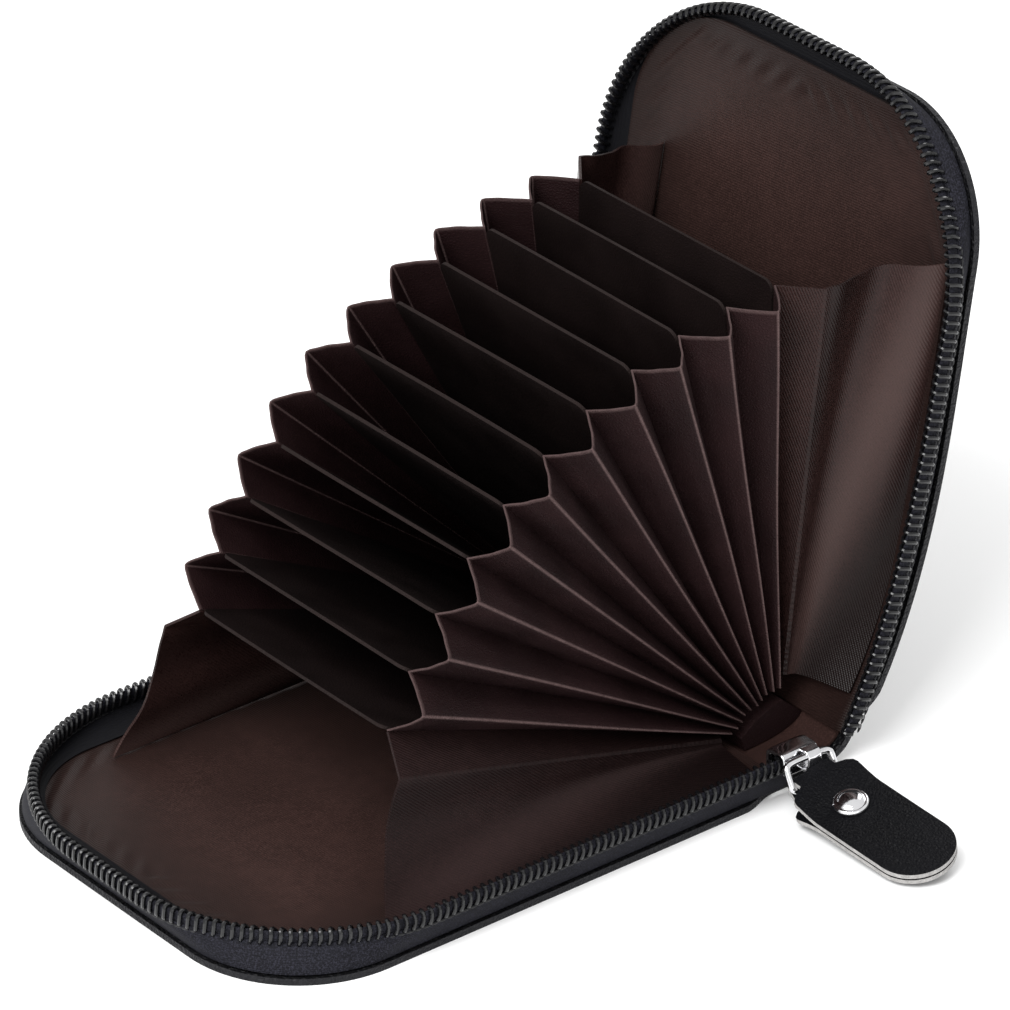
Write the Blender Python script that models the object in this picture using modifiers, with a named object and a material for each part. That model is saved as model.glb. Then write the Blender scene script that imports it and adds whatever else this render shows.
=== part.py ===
"""Zip-around card wallet with an accordion of ten card pockets, shown open.

The lower cover lies flat on the table with its outer leather down, the spine curls up behind it,
and the upper cover stands on the spine. Y runs along the spine, and the zip slider is on the near
side, at -Y. The origin is the middle of the lower cover's rest face.

Sizes are in millimetres, and MM turns them into metres where a mesh or an object is made.
"""

import math
from dataclasses import dataclass

import bmesh
import bpy
from mathutils import Euler, Matrix, Vector

MM = 0.001

# Clearance between neighbouring pieces, and between the two sides of a fold line
GAP = 0.3
FOLD_CLEARANCE = 0.15

# Covers
COVER_LENGTH = 101.5
COVER_WIDTH = 82.0
CORNER_RADIUS = 22.0
LEATHER_THICKNESS = 1.2
LEATHER_EDGE_ROUNDING = 0.35
BOARD_THICKNESS = 0.8
BOARD_INSET = 3.0
BOARD_SETBACK = 1.6
LINING_THICKNESS = 0.5
LINING_INSET = 2.2
LINING_SETBACK = 1.6
UPPER_BOW = 5.0
RIM_SHARE_OF_BOW = 0.75

# Spine and the two fold lines; the fold axes lie on the leather's inner face
FOLD_SPACING = 17.1
SPINE_TILT = 17.7
OPENING_ANGLE = 105.0
SPINE_INSET = 2.0
SPINE_FLAT_HANDLE = 13.0
SPINE_RISE_HANDLE = 4.5
SPINE_LINING_INSET = 3.5
SPINE_LINING_START = 0.045
SPINE_LINING_END = 0.90

# Zip: tape wall, coil teeth and stops. A rim stays a little short of the middle plane, where
# the two rims would meet once the wallet is shut
TAPE_THICKNESS = 0.6
TAPE_INSET = 0.5
TAPE_LOW = 0.3
TAPE_LEAN_POWER = 1.3
LOWER_RIM_SHORTFALL = 1.15
UPPER_RIM_SHORTFALL = 2.75
RIM_CORNER_RADIUS = 33.5
LOWER_FLARE = 1.0
UPPER_FLARE = 2.2
END_FLARE = 2.2
TOOTH_HEIGHT = 3.2
TOOTH_PITCH = 1.5
TOOTH_LENGTH = 0.8
TOOTH_DEPTH = 2.2
TOOTH_TIP_SHARE = 0.7
COIL_ROOT_HEIGHT = 0.7
COIL_ROOT_DEPTH = 2.4
LOWER_NEAR_TAIL = 1.5
UPPER_NEAR_TAIL = -0.6
FAR_TAIL = -0.6
STOP_LENGTH = 2.2
STOP_HEIGHT = 2.6
STOP_DEPTH = 2.8
ZIP_SIDE_STEPS = 9
ZIP_CORNER_STEPS = 8
ZIP_END_STEPS = 4

# Accordion: leaves that turn about their feet, and the pleated walls between them
LEAF_COUNT = 11
MIDDLE_LEAF = 5
LEAF_THICKNESS = 0.5
LEAF_LENGTH = 72.5
LEAF_WIDTH = 47.5
LEAF_CORNER_RADIUS = 2.0
LOWEST_LEAF_ANGLE = 20.0
LEAF_STEP_ANGLE = 7.1
FOOT_PITCH = 1.0
MIDDLE_FOOT_X = 5.7
MIDDLE_FOOT_Z = 8.0
PLEAT_THICKNESS = 0.3
PLEAT_START = 2.0
PLEAT_DEPTH_AT_FOOT = 4.9
PLEAT_DEPTH_AT_MOUTH = 6.4
BASE_DROP = 0.7
BASE_HALF_WIDTH = 29.0
BASE_FIRST_LINING_SHARE = 0.075
BASE_LAST_LINING_SHARE = 0.84

# Side walls of the two end compartments
END_WALL_THICKNESS = 0.5
END_WALL_START = 8.0
END_WALL_RIDGE_DROP = 4.6
END_WALL_CREASE_SHARE = 0.5
END_WALL_FOOT_INSET = 4.0
END_WALL_FOOT_LIFT = 0.2
END_WALL_CREASE_DEPTH = 0.5

# Slider, its crown and the pull
SLIDER_LENGTH = 7.2
SLIDER_X = 1.7
SLIDER_LOW = 4.7
SLIDER_HIGH = 9.6
SLIDER_PLATE = 0.8
SLIDER_CHAIN_CLEARANCE = 0.4
SLIDER_ROOF = 0.5
SLIDER_EDGE_ROUNDING = 0.25
CROWN_WIDTH = 2.6
CROWN_DEPTH = 2.3
CROWN_HEIGHT = 2.8
CROWN_RISE = 3.3
CROWN_SEAT = 0.1
CROWN_BORE_RADIUS = 0.9
RING_WIRE_RADIUS = 0.6
RING_WIDTH = 10.5
RING_LENGTH = 4.6
RING_LEAN = 30.0
RING_CORNER_RADIUS = 1.0
TAB_LENGTH = 29.3
TAB_WIDTH = 13.5
TAB_NECK_WIDTH = 7.2
TAB_NECK_LENGTH = 1.6
TAB_SHOULDER_LENGTH = 2.4
TAB_LAYER_THICKNESS = 0.8
TAB_LAYER_GAP = 0.3
TAB_CONVERGE_LENGTH = 5.0
TAB_YAW = 2.5
TAB_ROLL = 13.0
TAB_REST_CLEARANCE = 0.25
# How far the tab's uncut strip and its two cutters reach past the finished tab
TAB_TRIM = 1.0
TAB_CUT_DEPTH = 10.0
RIVET_FROM_BAR = 8.2
RIVET_HEAD_RADIUS = 3.0
RIVET_HEAD_HEIGHT = 1.3
RIVET_SHANK_RADIUS = 1.2
RIVET_BACK_RADIUS = 1.9
RIVET_BACK_THICKNESS = 0.4
RIVET_SEAT_GAP = 0.1

# How large the joints' empties are drawn
EMPTY_SIZE = 5.0

# Sizes that follow from the ones above
HINGE_X = COVER_LENGTH / 2
CORNER_CENTRE_X = -(COVER_LENGTH - CORNER_RADIUS)
CORNER_CENTRE_Y = COVER_WIDTH / 2 - CORNER_RADIUS
SPINE_HALF_WIDTH = COVER_WIDTH / 2 - SPINE_INSET
SPINE_LINING_HALF_WIDTH = COVER_WIDTH / 2 - SPINE_LINING_INSET
END_WALL_FOOT_OUTSET = COVER_WIDTH / 2 - END_WALL_FOOT_INSET
LOWER_RIM = FOLD_SPACING / 2 - LOWER_RIM_SHORTFALL
UPPER_RIM = FOLD_SPACING / 2 - UPPER_RIM_SHORTFALL
BOARD_LOW = GAP
LINING_LOW = BOARD_LOW + BOARD_THICKNESS + GAP
LINING_TOP = LINING_LOW + LINING_THICKNESS
SPINE_LINING_LIFT = LEATHER_THICKNESS + GAP
UPPER_TILT = 180.0 - OPENING_ANGLE
# Room in the tab's loop, so that the tab can hang askew and tilted on its bar
TAB_PLAY = TAB_NECK_WIDTH / 2 * math.sin(math.radians(TAB_YAW))
TAB_TILT_PLAY = TAB_NECK_WIDTH / 2 * math.sin(math.radians(TAB_ROLL))
NEAR, FAR = -1, 1


@dataclass(frozen=True)
class Cover:
    """What one cover has of its own; tails are how far its zip runs past the fold line."""

    prefix: str
    bow: float
    rim: float
    flare: float
    near_tail: float
    far_tail: float
    stop_side: int

    @property
    def coil_low(self):
        return self.rim - TOOTH_HEIGHT


# The upper cover's frame is turned about Z, so its near and far sides are swapped
LOWER_COVER = Cover("lower", 0.0, LOWER_RIM, LOWER_FLARE, LOWER_NEAR_TAIL, FAR_TAIL, FAR)
UPPER_COVER = Cover("upper", UPPER_BOW, UPPER_RIM, UPPER_FLARE, FAR_TAIL, UPPER_NEAR_TAIL, NEAR)


def direction(angle):
    """Unit vector in the XZ plane, with the angle in degrees from +X towards +Z."""
    turn = math.radians(angle)
    return Vector((math.cos(turn), 0.0, math.sin(turn)))


LOWER_FOLD = Vector((HINGE_X, 0.0, LEATHER_THICKNESS))
UPPER_FOLD = LOWER_FOLD + FOLD_SPACING * direction(SPINE_TILT)
LOWER_PLACE = Matrix.Translation(LOWER_FOLD)
UPPER_PLACE = Matrix.Translation(UPPER_FOLD) @ Euler(
    (0.0, math.radians(UPPER_TILT), math.radians(180.0))
).to_matrix().to_4x4()


# Scene, collections, materials and objects

def clear_scene():
    for obj in list(bpy.data.objects):
        bpy.data.objects.remove(obj, do_unlink=True)


def new_collection(name):
    collection = bpy.data.collections.new(name)
    bpy.context.scene.collection.children.link(collection)
    return collection


def new_material(name, colour, roughness, metallic=0.0):
    material = bpy.data.materials.new(name)
    material.use_nodes = True
    shader = material.node_tree.nodes["Principled BSDF"]
    shader.inputs["Base Color"].default_value = (*colour, 1.0)
    shader.inputs["Roughness"].default_value = roughness
    shader.inputs["Metallic"].default_value = metallic
    return material


def new_empty(name, place, parent=None):
    """An empty at a place given in millimetres, relative to its parent."""
    empty = bpy.data.objects.new(name, None)
    empty.empty_display_size = EMPTY_SIZE * MM
    empty.location = place.to_translation() * MM
    empty.rotation_euler = place.to_euler()
    empty.parent = parent
    PARTS.objects.link(empty)
    return empty


def new_part(name, mesh, material, parent=None, place=None):
    """A part object whose origin is at a place in millimetres, relative to its parent."""
    part = bpy.data.objects.new(name, mesh)
    mesh.materials.append(material)
    if place is not None:
        part.location = place.to_translation() * MM
        part.rotation_euler = place.to_euler()
    part.parent = parent
    PARTS.objects.link(part)
    return part


def new_cutter(name, mesh, place=None):
    cutter = bpy.data.objects.new(name, mesh)
    if place is not None:
        cutter.matrix_world = Matrix.Translation(place.to_translation() * MM) @ place.to_3x3().to_4x4()
    cutter.hide_render = True
    cutter.display_type = "WIRE"
    CUTTERS.objects.link(cutter)
    return cutter


# Mesh makers

def finish_mesh(bm, name):
    bmesh.ops.recalc_face_normals(bm, faces=bm.faces)
    mesh = bpy.data.meshes.new(name)
    bm.to_mesh(mesh)
    bm.free()
    return mesh


def grid_mesh(name, rows):
    """An open surface through rows of points, in millimetres, for a Solidify modifier."""
    bm = bmesh.new()
    grid = [[bm.verts.new(Vector(point) * MM) for point in row] for row in rows]
    for row, following in zip(grid, grid[1:]):
        for i in range(len(row) - 1):
            bm.faces.new((row[i], following[i], following[i + 1], row[i + 1]))
    mesh = bpy.data.meshes.new(name)
    bm.to_mesh(mesh)
    bm.free()
    return mesh


def walled_mesh(name, stations):
    """A closed wall lofted through stations, each a pair of lines: outer points, inner points."""
    bm = bmesh.new()
    rings = []
    for outer, inner in stations:
        ring = [bm.verts.new(Vector(point) * MM) for point in outer]
        ring += [bm.verts.new(Vector(point) * MM) for point in reversed(inner)]
        rings.append(ring)
    count = len(rings[0])
    for ring, following in zip(rings, rings[1:]):
        for i in range(count):
            j = (i + 1) % count
            bm.faces.new((ring[i], ring[j], following[j], following[i]))
    for ring in (rings[0], rings[-1]):
        for i in range(count // 2 - 1):
            bm.faces.new((ring[i], ring[i + 1], ring[count - 2 - i], ring[count - 1 - i]))
    # Split into triangles here, so that twisted faces bend the same way everywhere
    bmesh.ops.triangulate(bm, faces=bm.faces)
    return finish_mesh(bm, name)


def box_mesh(name, low, high):
    bm = bmesh.new()
    low, high = Vector(low) * MM, Vector(high) * MM
    size = high - low
    place = Matrix.Translation((low + high) / 2) @ Matrix.Diagonal((*size, 1.0))
    bmesh.ops.create_cube(bm, size=1.0, matrix=place)
    return finish_mesh(bm, name)


def cylinder_mesh(name, radius, length, axis, segments=24):
    """A cylinder centred on the origin along X, Y or Z."""
    turns = {"X": Matrix.Rotation(math.pi / 2, 4, "Y"), "Z": Matrix.Identity(4)}
    bm = bmesh.new()
    bmesh.ops.create_cone(
        bm, cap_ends=True, segments=segments, radius1=radius * MM, radius2=radius * MM,
        depth=length * MM, matrix=turns[axis],
    )
    return finish_mesh(bm, name)


def outline_mesh(name, outline, thickness):
    """A plate from a flat outline in the XY plane, centred on z = 0."""
    curve = bpy.data.curves.new(name, "CURVE")
    curve.dimensions = "2D"
    curve.fill_mode = "BOTH"
    curve.extrude = thickness / 2 * MM
    spline = curve.splines.new("POLY")
    spline.points.add(len(outline) - 1)
    for point, (x, y) in zip(spline.points, outline):
        point.co = (x * MM, y * MM, 0.0, 1.0)
    spline.use_cyclic_u = True
    return curve_to_mesh(name, curve)


def curve_to_mesh(name, curve):
    """The evaluated mesh of a curve, with its caps welded on."""
    guide = bpy.data.objects.new(name + "_guide", curve)
    CUTTERS.objects.link(guide)
    depsgraph = bpy.context.evaluated_depsgraph_get()
    mesh = bpy.data.meshes.new_from_object(guide.evaluated_get(depsgraph))
    bpy.data.objects.remove(guide, do_unlink=True)
    bm = bmesh.new()
    bm.from_mesh(mesh)
    bmesh.ops.remove_doubles(bm, verts=bm.verts, dist=0.001 * MM)
    bm.to_mesh(mesh)
    bm.free()
    mesh.name = name
    return mesh


def solidify(part, thickness):
    """Give an open surface its thickness on the side that its faces point to."""
    modifier = part.modifiers.new("Thickness", "SOLIDIFY")
    modifier.thickness = thickness * MM
    modifier.offset = 1.0
    modifier.use_even_offset = True


def round_edges(part, width, segments=1):
    modifier = part.modifiers.new("Rounding", "BEVEL")
    modifier.width = width * MM
    modifier.segments = segments
    modifier.limit_method = "ANGLE"
    modifier.angle_limit = math.radians(50)


def combine(part, cutter, operation):
    modifier = part.modifiers.new(operation.title(), "BOOLEAN")
    modifier.operation = operation
    modifier.solver = "EXACT"
    modifier.object = cutter


def arc(centre_x, centre_y, radius, start, end, steps):
    """Points of an arc in the XY plane, with angles in degrees."""
    points = []
    for i in range(steps + 1):
        turn = math.radians(start + (end - start) * i / steps)
        points.append((centre_x + radius * math.cos(turn), centre_y + radius * math.sin(turn)))
    return points


# Covers, in their own frame: the fold axis is Y through the origin, and the cover runs to -X

def bow_at(x, amount):
    """Outward bow of a cover: a hump with its peak a third of the way from the fold."""
    share = min(max(-x / COVER_LENGTH, 0.0), 1.0)
    return amount * 6.75 * share * (1.0 - share) ** 2


def cover_half_width(x, inset):
    radius = CORNER_RADIUS - inset
    if x >= CORNER_CENTRE_X:
        return COVER_WIDTH / 2 - inset
    reach = min(CORNER_CENTRE_X - x, radius)
    return CORNER_CENTRE_Y + math.sqrt(radius ** 2 - reach ** 2)


def cover_rows(start, inset, height, bow):
    """Rows across a cover sheet, from the fold to the free edge."""
    straight_steps, corner_steps = 9, 8
    radius = CORNER_RADIUS - inset
    places = [start + (CORNER_CENTRE_X - start) * i / straight_steps for i in range(straight_steps)]
    for i in range(corner_steps + 1):
        places.append(CORNER_CENTRE_X - radius * math.sin(math.pi / 2 * i / corner_steps))
    rows = []
    for x in places:
        half = cover_half_width(x, inset)
        z = height - bow_at(x, bow)
        rows.append([(x, half, z), (x, -half, z)])
    return rows


def make_cover_sheet(name, parent, material, start, inset, height, thickness, bow, rounding=0.0):
    part = new_part(name, grid_mesh(name, cover_rows(start, inset, height, bow)), material, parent)
    solidify(part, thickness)
    if rounding:
        round_edges(part, rounding)
    return part


def zip_outline(half, end, radius, near_tail, far_tail):
    """Points and outward normals along a rounded rectangle that is open at the fold."""
    centre_x, centre_y = radius - end, half - radius

    def side_points(side, tail):
        points = []
        for i in range(ZIP_SIDE_STEPS):
            x = tail + (centre_x - tail) * i / ZIP_SIDE_STEPS
            points.append((Vector((x, side * half, 0)), Vector((0, side, 0))))
        for i in range(ZIP_CORNER_STEPS + 1):
            turn = math.pi / 2 * i / ZIP_CORNER_STEPS
            normal = Vector((-math.sin(turn), side * math.cos(turn), 0))
            points.append((Vector((centre_x, side * centre_y, 0)) + radius * normal, normal))
        return points

    path = side_points(NEAR, near_tail)
    for i in range(1, ZIP_END_STEPS):
        y = centre_y * (2 * i / ZIP_END_STEPS - 1)
        path.append((Vector((-end, y, 0)), Vector((-1, 0, 0))))
    return path + side_points(FAR, far_tail)[::-1]


def zip_stations(cover):
    """Round the three zipped sides: foot on the leather, point on the rim, outward normal.

    The foot follows the leather's edge. The rim is a rounded rectangle with wider corners, so the
    tape leans out along the sides and in at the corners.
    """
    foot = zip_outline(
        COVER_WIDTH / 2 - TAPE_INSET, COVER_LENGTH - TAPE_INSET, CORNER_RADIUS - TAPE_INSET,
        cover.near_tail, cover.far_tail,
    )
    rim = zip_outline(
        COVER_WIDTH / 2 + cover.flare, COVER_LENGTH + END_FLARE, RIM_CORNER_RADIUS,
        cover.near_tail, cover.far_tail,
    )
    return [(low, high, normal) for (low, _), (high, normal) in zip(foot, rim)]


def rim_bow(x, z, cover):
    """The bow that reaches a point of the tape wall; it fades a little up to the coil's foot."""
    return bow_at(x, cover.bow) * (1.0 - (1.0 - RIM_SHARE_OF_BOW) * min(z / cover.coil_low, 1.0))


def make_tape(cover, parent):
    """The tape wall: it stands on the leather's edge and leans over to its rim."""
    name = cover.prefix + "_zip_tape"
    tape_high = cover.coil_low - GAP
    levels = (0.0, 0.3, 0.65, 1.0)
    stations = []
    for low, high, normal in zip_stations(cover):
        outer, inner = [], []
        for level in levels:
            place = low.lerp(high, level ** TAPE_LEAN_POWER)
            z = TAPE_LOW + (tape_high - TAPE_LOW) * level
            place.z = z - rim_bow(place.x, z, cover)
            outer.append(place)
            inner.append(place - normal * TAPE_THICKNESS)
        stations.append((outer, inner))
    return new_part(name, walled_mesh(name, stations), TAPE, parent)


def rim_line(cover):
    """The chain's middle line: points and outward normals."""
    return [(high - normal * TAPE_THICKNESS / 2, normal) for _, high, normal in zip_stations(cover)]


def tooth_places(cover):
    """Evenly spaced places on the chain: position, direction, outward normal."""
    path = rim_line(cover)
    places = []
    travelled, wanted = 0.0, TOOTH_PITCH / 2
    for (start, normal), (end, next_normal) in zip(path, path[1:]):
        length = (end - start).length
        while wanted < travelled + length:
            share = (wanted - travelled) / length
            along = (end - start) / length
            outward = normal.lerp(next_normal, share).normalized()
            places.append((start.lerp(end, share), along, outward))
            wanted += TOOTH_PITCH
        travelled += length
    return places


def make_coil(cover, parent, place):
    """The nylon coil on the tape's rim: tapered teeth on one continuous root."""
    name = cover.prefix + "_zip_coil"
    low, high = cover.coil_low, cover.coil_low + COIL_ROOT_HEIGHT
    stations = []
    for middle, normal in rim_line(cover):
        lines = []
        for side in (1, -1):
            edge = middle + normal * side * COIL_ROOT_DEPTH / 2
            lines.append([edge + Vector((0, 0, z - rim_bow(middle.x, z, cover))) for z in (low, high)])
        stations.append(lines)
    root = new_part(name, walled_mesh(name, stations), COIL, parent)

    bm = bmesh.new()
    foot = (low + high) / 2
    size = Matrix.Diagonal((TOOTH_LENGTH * MM, TOOTH_DEPTH * MM, (cover.rim - foot) * MM, 1.0))
    for position, along, outward in tooth_places(cover):
        z = (foot + cover.rim) / 2 - rim_bow(position.x, cover.rim, cover)
        centre = Vector((position.x, position.y, z)) * MM
        across = (outward - along * outward.dot(along)).normalized()
        turn = Matrix((along, across, Vector((0, 0, 1)))).transposed().to_4x4()
        tooth = bmesh.ops.create_cube(bm, size=1.0, matrix=Matrix.Translation(centre) @ turn @ size)
        for vert in tooth["verts"]:
            if vert.co.z > centre.z:
                vert.co.xy = centre.xy + (vert.co.xy - centre.xy) * TOOTH_TIP_SHARE
    teeth = new_cutter(name + "_teeth", finish_mesh(bm, name + "_teeth"), place)
    combine(root, teeth, "UNION")
    return root


def make_top_stop(cover, parent):
    """The metal clip at the far end of a chain, just past its last tooth."""
    name = cover.prefix + "_top_stop"
    y = cover.stop_side * (COVER_WIDTH / 2 + cover.flare - TAPE_THICKNESS / 2)
    low = (FAR_TAIL + GAP, y - STOP_DEPTH / 2, cover.rim - STOP_HEIGHT)
    high = (FAR_TAIL + GAP + STOP_LENGTH, y + STOP_DEPTH / 2, cover.rim)
    part = new_part(name, box_mesh(name, low, high), CHROME, parent)
    round_edges(part, SLIDER_EDGE_ROUNDING)
    return part


def make_cover(cover, parent, place):
    make_cover_sheet(
        cover.prefix + "_leather", parent, LEATHER, -FOLD_CLEARANCE, 0.0, -LEATHER_THICKNESS,
        LEATHER_THICKNESS, cover.bow, LEATHER_EDGE_ROUNDING,
    )
    make_cover_sheet(
        cover.prefix + "_board", parent, BOARD, -BOARD_SETBACK, BOARD_INSET, BOARD_LOW,
        BOARD_THICKNESS, cover.bow,
    )
    make_cover_sheet(
        cover.prefix + "_lining", parent, LINING, -LINING_SETBACK, LINING_INSET, LINING_LOW,
        LINING_THICKNESS, cover.bow,
    )
    make_tape(cover, parent)
    make_coil(cover, parent, place)
    make_top_stop(cover, parent)


# Spine, in the lower fold's frame

def spine_curve(share):
    """A point of the spine's outer face and the direction of travel there, as a cubic curve.

    It leaves the lower cover flat along the table and meets the upper cover in line with it.
    """
    outer_end = UPPER_FOLD - LOWER_FOLD - LEATHER_THICKNESS * direction(UPPER_TILT + 90)
    start = Vector((0, 0, -LEATHER_THICKNESS))
    points = (
        start,
        start + Vector((SPINE_FLAT_HANDLE, 0, 0)),
        outer_end - SPINE_RISE_HANDLE * direction(UPPER_TILT),
        outer_end,
    )
    rest = 1.0 - share
    weights = (rest ** 3, 3 * rest ** 2 * share, 3 * rest * share ** 2, share ** 3)
    place = sum((w * p for w, p in zip(weights, points)), Vector())
    pace = sum(
        (3 * w * (b - a) for w, a, b in zip((rest ** 2, 2 * rest * share, share ** 2), points, points[1:])),
        Vector(),
    )
    return place, pace.normalized()


def spine_point(share, lift):
    """A point above the spine's outer face by a lift, towards the inside of the wallet."""
    place, along = spine_curve(share)
    inward = Vector((-along.z, 0, along.x))
    return place + lift * inward


def make_spine_sheet(name, parent, material, first, last, lift, thickness, half_width, steps=14):
    rows = []
    for i in range(steps + 1):
        point = spine_point(first + (last - first) * i / steps, lift)
        rows.append([(point.x, -half_width, point.z), (point.x, half_width, point.z)])
    part = new_part(name, grid_mesh(name, rows), material, parent)
    solidify(part, thickness)
    return part


def make_accordion_base(parent, feet):
    """The bound edge that carries the leaves: flat under their feet, shaped to the lining below."""
    name = "accordion_base"
    lift = SPINE_LINING_LIFT + LINING_THICKNESS + GAP
    share_step = (BASE_LAST_LINING_SHARE - BASE_FIRST_LINING_SHARE) / (LEAF_COUNT - 1)
    bottoms = []
    for i in range(LEAF_COUNT):
        share = BASE_FIRST_LINING_SHARE + share_step * i
        bottoms.append(spine_point(share, lift))
    stations = []
    for i, foot in enumerate(feet):
        before, after = feet[max(i - 1, 0)], feet[min(i + 1, LEAF_COUNT - 1)]
        along = (after - before).normalized()
        top = foot - LOWER_FOLD - BASE_DROP * Vector((-along.z, 0, along.x))
        low = bottoms[i]
        wide = Vector((0, BASE_HALF_WIDTH, 0))
        stations.append(((top - wide, top + wide), (low - wide, low + wide)))
    return new_part(name, walled_mesh(name, stations), FOLD_FABRIC, parent)


# Accordion leaves and pleats

def leaf_angle(index):
    """Angle of a leaf above the lower cover, in degrees."""
    return LOWEST_LEAF_ANGLE + LEAF_STEP_ANGLE * index


def leaf_feet():
    """Where the leaves turn, in world millimetres.

    Neighbouring feet are a pitch apart. The line of feet bends half-way between the spine's
    slope and the slope that stacks the leaves square above each other once the wallet is shut.
    """
    middle = Vector((HINGE_X + MIDDLE_FOOT_X, 0, MIDDLE_FOOT_Z))
    feet = {MIDDLE_LEAF: middle}

    def step_direction(carrier):
        return direction((SPINE_TILT + 90.0 - leaf_angle(carrier)) / 2)

    for index in range(MIDDLE_LEAF, 0, -1):
        feet[index - 1] = feet[index] - FOOT_PITCH * step_direction(index)
    for index in range(MIDDLE_LEAF, LEAF_COUNT - 1):
        feet[index + 1] = feet[index] + FOOT_PITCH * step_direction(index)
    return [feet[index] for index in range(LEAF_COUNT)]


def leaf_direction(index):
    return direction(180.0 - leaf_angle(index))


def leaf_outline():
    """A leaf seen flat: square at its foot, with small round corners at its mouth."""
    half, radius = LEAF_WIDTH / 2, LEAF_CORNER_RADIUS
    x = -LEAF_LENGTH + radius
    outline = [(0.0, half)]
    outline += arc(x, half - radius, radius, 90, 180, 4)
    outline += arc(x, -half + radius, radius, 180, 270, 4)
    outline.append((0.0, -half))
    return outline


def make_leaves(feet):
    for index, foot in enumerate(feet):
        name = f"divider_{index}"
        mesh = outline_mesh(name, leaf_outline(), LEAF_THICKNESS)
        place = Matrix.Translation(foot) @ Matrix.Rotation(math.radians(leaf_angle(index)), 4, "Y")
        new_part(name, mesh, LEAF_LEATHER, None, place)


def pleat_stations(feet, index, side):
    """Foot and mouth sections of the V between two leaves, folded outwards to its ridge."""
    across = direction(90.0 - leaf_angle(index + 0.5))
    seam_y = side * (LEAF_WIDTH / 2 + GAP)
    outer_lift = GAP / 2
    inner_lift = outer_lift + PLEAT_THICKNESS
    stations = []
    for reach, depth in (
        (PLEAT_START, PLEAT_DEPTH_AT_FOOT),
        (LEAF_LENGTH - GAP, PLEAT_DEPTH_AT_MOUTH),
    ):
        low = feet[index] + reach * leaf_direction(index)
        high = feet[index + 1] + reach * leaf_direction(index + 1)
        ridge_y = side * (LEAF_WIDTH / 2 + depth)
        inner_ridge_y = ridge_y - side * 1.4 * PLEAT_THICKNESS
        middle = (low + high) / 2
        seam, ridge, inner_ridge = Vector((0, seam_y, 0)), Vector((0, ridge_y, 0)), Vector((0, inner_ridge_y, 0))
        outer = (low + outer_lift * across + seam, middle + ridge, high - outer_lift * across + seam)
        inner = (low + inner_lift * across + seam, middle + inner_ridge, high - inner_lift * across + seam)
        stations.append((outer, inner))
    return stations


def make_pleats(feet):
    for index in range(LEAF_COUNT - 1):
        origin = feet[index]
        for word, side in (("near", NEAR), ("far", FAR)):
            name = f"gusset_{word}_{index}"
            stations = [
                ([p - origin for p in outer], [p - origin for p in inner])
                for outer, inner in pleat_stations(feet, index, side)
            ]
            new_part(name, walled_mesh(name, stations), PLEAT_LEATHER, None, Matrix.Translation(origin))


# Side walls of the end compartments, in a cover's own frame

def offset_line(points, amount):
    """A line in the YZ plane moved sideways by an amount, with mitred corners."""
    moved = []
    for i, point in enumerate(points):
        before = (point - points[i - 1]).normalized() if i else None
        after = (points[i + 1] - point).normalized() if i < len(points) - 1 else None
        before, after = before or after, after or before
        normal_a = Vector((0, -before.z, before.y))
        normal_b = Vector((0, -after.z, after.y))
        mitre = (normal_a + normal_b).normalized()
        moved.append(point + mitre * amount / max(mitre.dot(normal_b), 0.5))
    return moved


def make_end_wall(name, parent, place, foot, along, side, bow):
    """A folded wall from the outermost leaf's edge, over a ridge and a crease, to the lining."""
    to_cover = place.inverted()
    start = to_cover @ foot
    slope = to_cover.to_3x3() @ along
    stations = []
    for reach in (END_WALL_START, LEAF_LENGTH * 0.4, LEAF_LENGTH * 0.7, LEAF_LENGTH - GAP):
        leaf = start + reach * slope
        floor = LINING_TOP + GAP - bow_at(leaf.x, bow)
        top = leaf.z - LEAF_THICKNESS / 2 - GAP - END_WALL_THICKNESS
        share = reach / LEAF_LENGTH
        ridge_depth = PLEAT_DEPTH_AT_FOOT + (PLEAT_DEPTH_AT_MOUTH - PLEAT_DEPTH_AT_FOOT) * share
        ridge_z = top - min(END_WALL_RIDGE_DROP * share, 0.3 * (top - floor))
        crease_z = floor + (ridge_z - floor) * END_WALL_CREASE_SHARE
        line = [
            Vector((leaf.x, side * (LEAF_WIDTH / 2 + GAP), top)),
            Vector((leaf.x, side * (LEAF_WIDTH / 2 + ridge_depth), ridge_z)),
            Vector((leaf.x, side * (LEAF_WIDTH / 2 + ridge_depth + END_WALL_CREASE_DEPTH), crease_z)),
            Vector((leaf.x, side * END_WALL_FOOT_OUTSET, floor + END_WALL_FOOT_LIFT)),
        ]
        stations.append((line, offset_line(line, -side * END_WALL_THICKNESS)))
    return new_part(name, walled_mesh(name, stations), END_FABRIC, parent)


# Slider, ring and tab; the slider is built in the lower fold's frame

CHAIN_Y = -(COVER_WIDTH / 2 + LOWER_FLARE - TAPE_THICKNESS / 2)
SLIDER_INNER_Y = CHAIN_Y + TOOTH_DEPTH / 2 + SLIDER_CHAIN_CLEARANCE
SLIDER_OUTER_Y = CHAIN_Y - TOOTH_DEPTH / 2 - SLIDER_CHAIN_CLEARANCE
SLIDER_FACE_Y = SLIDER_OUTER_Y - SLIDER_PLATE
RING_PIVOT = Vector((SLIDER_X, SLIDER_FACE_Y - CROWN_SEAT - CROWN_DEPTH / 2, SLIDER_LOW + CROWN_RISE))
RING_BAR = RING_PIVOT + RING_LENGTH * Vector((
    0, -math.sin(math.radians(RING_LEAN)), -math.cos(math.radians(RING_LEAN))
))


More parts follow.
